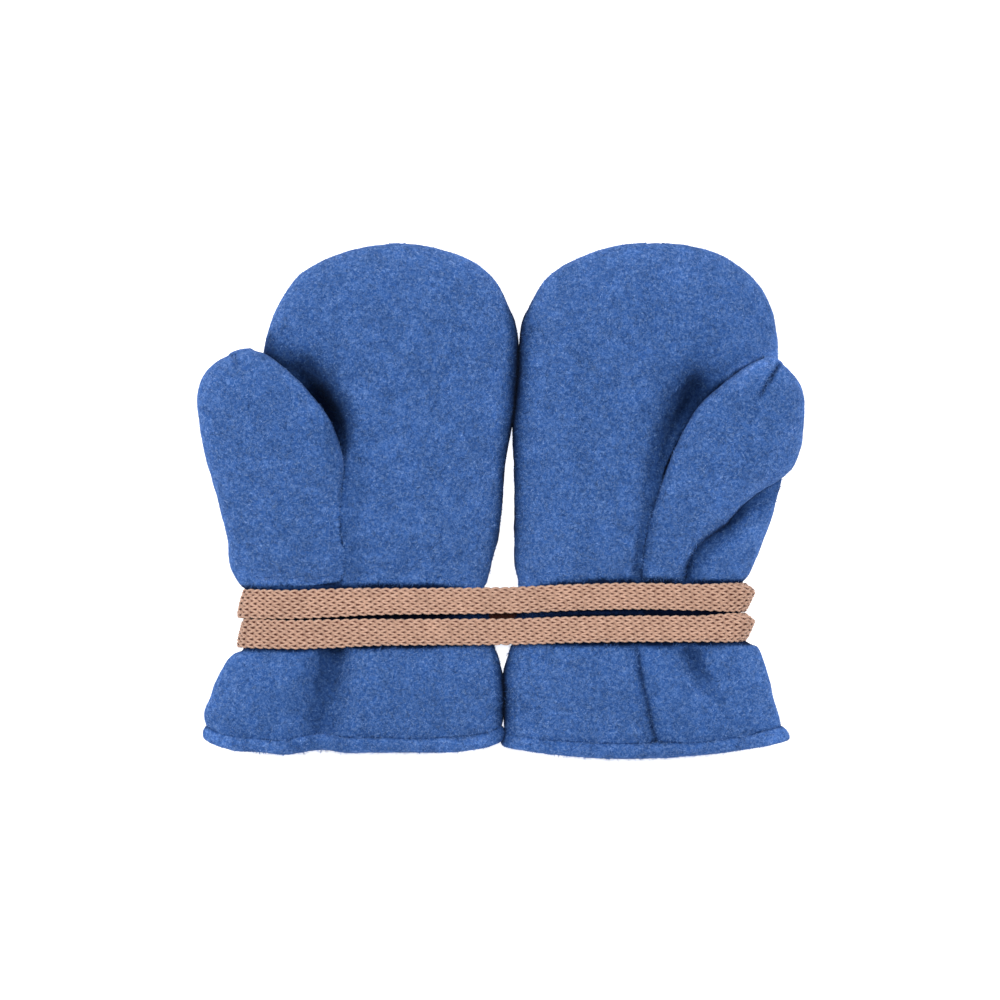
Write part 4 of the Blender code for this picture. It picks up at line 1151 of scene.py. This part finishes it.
def cord_lining(path, material):
    """The yarn between the stitches, which lies deeper and is painted dark as shade."""
    sides = LINING_SIDES
    turn = np.linspace(0, 2 * math.pi, sides, endpoint=False)
    half_wide, half_thick = KNIT_HALF[0], KNIT_HALF[1] - LINING_DEPTH
    a, b = power(np.cos(turn), KNIT_ROUND) * half_wide, power(np.sin(turn), KNIT_ROUND) * half_thick
    line, side_, up = (q[4:-4:3] for q in (path, *cord_frame(path)))
    rings = line[:, None] + side_[:, None] * (a[None] * spread(line)[:, None])[..., None]
    rings = rings + up[:, None] * b[None, :, None]
    rings[..., 0] += np.stack([slanted(line, np.full(len(line), offset)) for offset in a], 1)
    count = len(rings)
    points = np.concatenate([rings.reshape(-1, 3), line[:1], line[-1:]])
    faces = cells(count, sides, True).reshape(-1, 4).tolist()
    for first, middle, way in ((0, count * sides, -1), ((count - 1) * sides, count * sides + 1, 1)):
        for j in range(0, sides, 2):
            faces.append([first + j, first + (j + 1) % sides, first + (j + 2) % sides, middle][::way])
    tone = np.full(len(points), LINING_PAINTED_TONE)
    return cleaned(new_object("cord_knit_inside", points, faces, material, tone))


# ---- materials ----
# Darkest, middle and lightest of the fleece's ground, of its loose fibres and of the yarn.
GROUND = ((0.022, 0.070, 0.236), (0.044, 0.109, 0.306), (0.084, 0.164, 0.382))
FIBRE = ((0.028, 0.080, 0.256), (0.060, 0.132, 0.338), (0.140, 0.232, 0.455))
YARN_COLOURS = ((0.38, 0.220, 0.155), (0.52, 0.325, 0.240), (0.68, 0.46, 0.36))
YARN_SHADOW = (0.085, 0.022, 0.014)  # where its tone is nought
PAINTED_SHADE_POWERS = (1.35, 1.15, 1.0)  # of the fleece's painted light and shade in red, green and blue, so that painted shade is bluer
WHITE, PALE = (1.0, 1.0, 1.0, 1.0), (0.85, 0.85, 0.85, 1.0)


def set_inputs(node, values):
    for socket, value in values.items():
        node.inputs[socket].default_value = value


def new_material(name, roughness):
    material = bpy.data.materials.new(name)
    material.use_nodes = True
    shader = material.node_tree.nodes["Principled BSDF"]
    set_inputs(shader, {"Roughness": roughness, "Metallic": 0.0})
    return material, shader


def noise_node(tree, place, scale, detail, distortion=0.0, rough=0.6):
    node = tree.nodes.new("ShaderNodeTexNoise")
    set_inputs(node, {"Scale": scale, "Detail": detail, "Roughness": rough, "Distortion": distortion})
    tree.links.new(place, node.inputs["Vector"])
    return node.outputs["Fac"]


def ramp_node(tree, value, stops):
    """The colours of a value, by pairs of a place and a colour."""
    node = tree.nodes.new("ShaderNodeValToRGB")
    elements, stops = node.color_ramp.elements, list(stops)
    while len(elements) < len(stops):
        elements.new(0.5)
    for element, (place, colour) in zip(elements, stops):
        element.position = place
        element.color = (*colour, 1.0)
    tree.links.new(value, node.inputs["Fac"])
    return node.outputs["Color"]


def mixed(tree, kind, share, a, b):
    """Two colours mixed, by a share that is a number or an output."""
    node = tree.nodes.new("ShaderNodeMix")
    node.data_type, node.blend_type = "RGBA", kind
    if isinstance(share, float):
        node.inputs["Factor"].default_value = share
    else:
        tree.links.new(share, node.inputs["Factor"])
    tree.links.new(a, node.inputs[6])
    tree.links.new(b, node.inputs[7])
    return node.outputs[2]


def mottled(tree, colour, noises):
    """The colour times the greys of noises, each with the places and levels of its dark and light ends."""
    for noise, low, dark, high, light in noises:
        greys = ramp_node(tree, noise, ((low, (dark,) * 3), (high, (light,) * 3)))
        colour = mixed(tree, "MULTIPLY", 1.0, colour, greys)
    return colour


def painted_light_output(tree):
    """The painted light and shade of the piece's points, from its attribute; on loose fibres also their own
    tone.
    """
    node = tree.nodes.new("ShaderNodeAttribute")
    node.attribute_name = "tone"
    return node.outputs["Fac"]


def with_painted_light(tree, colour):
    """The colour times the piece's painted light and shade, bluer the darker the painted shade is."""
    own = painted_light_output(tree)
    shares = tree.nodes.new("ShaderNodeCombineColor")
    for channel, exponent in zip(shares.inputs, PAINTED_SHADE_POWERS):
        share = tree.nodes.new("ShaderNodeMath")
        share.operation = "POWER"
        share.inputs[1].default_value = exponent
        tree.links.new(own, share.inputs[0])
        tree.links.new(share.outputs[0], channel)
    return mixed(tree, "MULTIPLY", 1.0, colour, shares.outputs[0])


def bumped(tree, shader, layers):
    """Bumps one on another, each from a height, a strength and a distance."""
    normal = None
    for height, strength, distance in layers:
        bump = tree.nodes.new("ShaderNodeBump")
        set_inputs(bump, {"Strength": strength, "Distance": distance})
        tree.links.new(height, bump.inputs["Height"])
        if normal is not None:
            tree.links.new(normal, bump.inputs["Normal"])
        normal = bump.outputs["Normal"]
    tree.links.new(normal, shader.inputs["Normal"])


def fleece_material(name, colours):
    """Napped wool: mottled blue, dull, with a soft sheen and a crumb of fine fibres."""
    material, shader = new_material(name, 0.95)
    tree = material.node_tree
    place = tree.nodes.new("ShaderNodeTexCoord").outputs["Object"]
    fine, medium = noise_node(tree, place, 1400, 3, 1.0, 0.65), noise_node(tree, place, 420, 3, 0.8)
    cloud, broad = noise_node(tree, place, 190, 2, 0.6), noise_node(tree, place, 60, 2)
    colour = ramp_node(tree, fine, zip((0.40, 0.52, 0.64), colours))
    noises = (medium, 0.38, 0.94, 0.62, 1.06), (cloud, 0.35, 0.90, 0.65, 1.09), (broad, 0.3, 0.94, 0.7, 1.05)
    # the fleece's colour carries the painted light and shade of its points
    tree.links.new(with_painted_light(tree, mottled(tree, colour, noises)), shader.inputs["Base Color"])
    bumped(tree, shader, ((fine, 0.6, 0.0004), (medium, 0.5, 0.0009)))
    set_inputs(shader, {"Sheen Weight": 0.04, "Sheen Roughness": 0.5, "Sheen Tint": (0.40, 0.56, 1.0, 1.0)})
    set_inputs(shader, {"Specular IOR Level": 0.05})
    return material


def yarn_material():
    """The cord's yarn, matte and slightly hairy."""
    material, shader = new_material("tan_yarn", 0.85)
    tree = material.node_tree
    place = tree.nodes.new("ShaderNodeTexCoord").outputs["Object"]
    fine, broad = noise_node(tree, place, 1800, 4, 0.6), noise_node(tree, place, 160, 3)
    colour = ramp_node(tree, fine, zip((0.3, 0.55, 0.8), YARN_COLOURS))
    colour = mottled(tree, colour, ((broad, 0.3, 0.9, 0.7, 1.06),))
    # painted shade: the yarn's colour is mixed towards its shadow colour as its painted tone falls
    deep = tree.nodes.new("ShaderNodeRGB")
    deep.outputs[0].default_value = (*YARN_SHADOW, 1.0)
    colour = mixed(tree, "MIX", painted_light_output(tree), deep.outputs[0], colour)
    tree.links.new(colour, shader.inputs["Base Color"])
    bumped(tree, shader, ((fine, 0.4, 0.0001),))
    set_inputs(shader, {"Sheen Weight": 0.15, "Sheen Roughness": 0.4, "Specular IOR Level": 0.2})
    return material


# ---- studio ----
FLOOR_HALF, FLOOR_LEVEL = 1.6, -0.0002
# Round lamps that face the middle: place, size and watts.
LAMPS = {
    "left": ((-0.85, 0.20, 0.95), 0.40, 9.6),
    "right": ((0.85, 0.15, 0.95), 0.40, 7.6),
    "top": ((0.0, 0.1, 1.3), 0.35, 8.7),
}
# The camera's height, the level that its picture is as wide as EYE_ACROSS at, and its sensor in millimetres.
EYE_HEIGHT, EYE_PLANE, EYE_ACROSS = 1.8, 0.009, 0.2745
SENSOR = 36.0


def pale_floor():
    s, z = FLOOR_HALF, FLOOR_LEVEL
    mesh = bpy.data.meshes.new("floor")
    mesh.from_pydata([(-s, -s, z), (s, -s, z), (s, s, z), (-s, s, z)], [], [(0, 1, 2, 3)])
    material, shader = new_material("pale_floor", 0.9)
    set_inputs(shader, {"Base Color": PALE, "Emission Color": WHITE, "Emission Strength": 0.80})
    mesh.materials.append(material)
    added("floor", mesh)


def soft_light():
    world = bpy.data.worlds.new("studio")
    world.use_nodes = True
    set_inputs(world.node_tree.nodes["Background"], {"Color": WHITE, "Strength": 0.16})
    bpy.context.scene.world = world
    for name, (place, size, watts) in LAMPS.items():
        light = bpy.data.lights.new(name, "AREA")
        light.shape, light.size, light.energy = "DISK", size, watts
        lamp = added(name, light)
        lamp.location = place
        lamp.rotation_mode = "QUATERNION"
        lamp.rotation_quaternion = (-Vector(place)).to_track_quat("-Z", "Y")


def camera_above():
    camera = bpy.data.cameras.new("camera")
    camera.sensor_width = SENSOR
    camera.lens = SENSOR * (EYE_HEIGHT - EYE_PLANE) / EYE_ACROSS
    camera.clip_start, camera.clip_end = 0.05, 10.0
    eye = added("camera", camera)
    eye.location = (0.0, 0.0, EYE_HEIGHT)
    bpy.context.scene.camera = eye
    bpy.context.scene.view_settings.view_transform = "Standard"


# ---- the pair ----
def rode(piece, nodes):
    """Ties a piece to the frame in the place of the nodes that it stands for."""
    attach(piece, "root")
    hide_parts(*nodes)


pale_floor()
soft_light()
camera_above()
blue, tan = fleece_material("blue_fleece", GROUND), yarn_material()
fluff = fleece_material("blue_fibres", FIBRE)
cloth = {}
for side, mitten in MITTENS.items():
    cloth |= {f"{side}_{part}": piece for part, piece in fleece_pieces(side, mitten).items()}
shaded(cloth, cord_route())
shown = {}
for number, (node, piece) in enumerate(cloth.items()):
    part = node.split("_")[1]
    if part == "hem":
        body = cleaned(new_object(f"{node}_fleece", piece["grid"], quads_of(piece), blue, piece["tone"]))
    else:
        body = shell(f"{node}_fleece", piece, blue)
    shown[node] = body, fibres(f"{node}_nap", piece, FIBRES[part], fluff, SEEDS["fibres"] + number)
    for made in shown[node]:
        rode(made, [node])
for side in MITTENS:
    for part, under in (("back", "floor"), ("palm", f"{side}_back_fleece"), ("thumb", f"{side}_palm_fleece")):
        body, loose = shown[f"{side}_{part}"]
for piece in knitted_cord(tan):
    rode(piece, ["cord"])
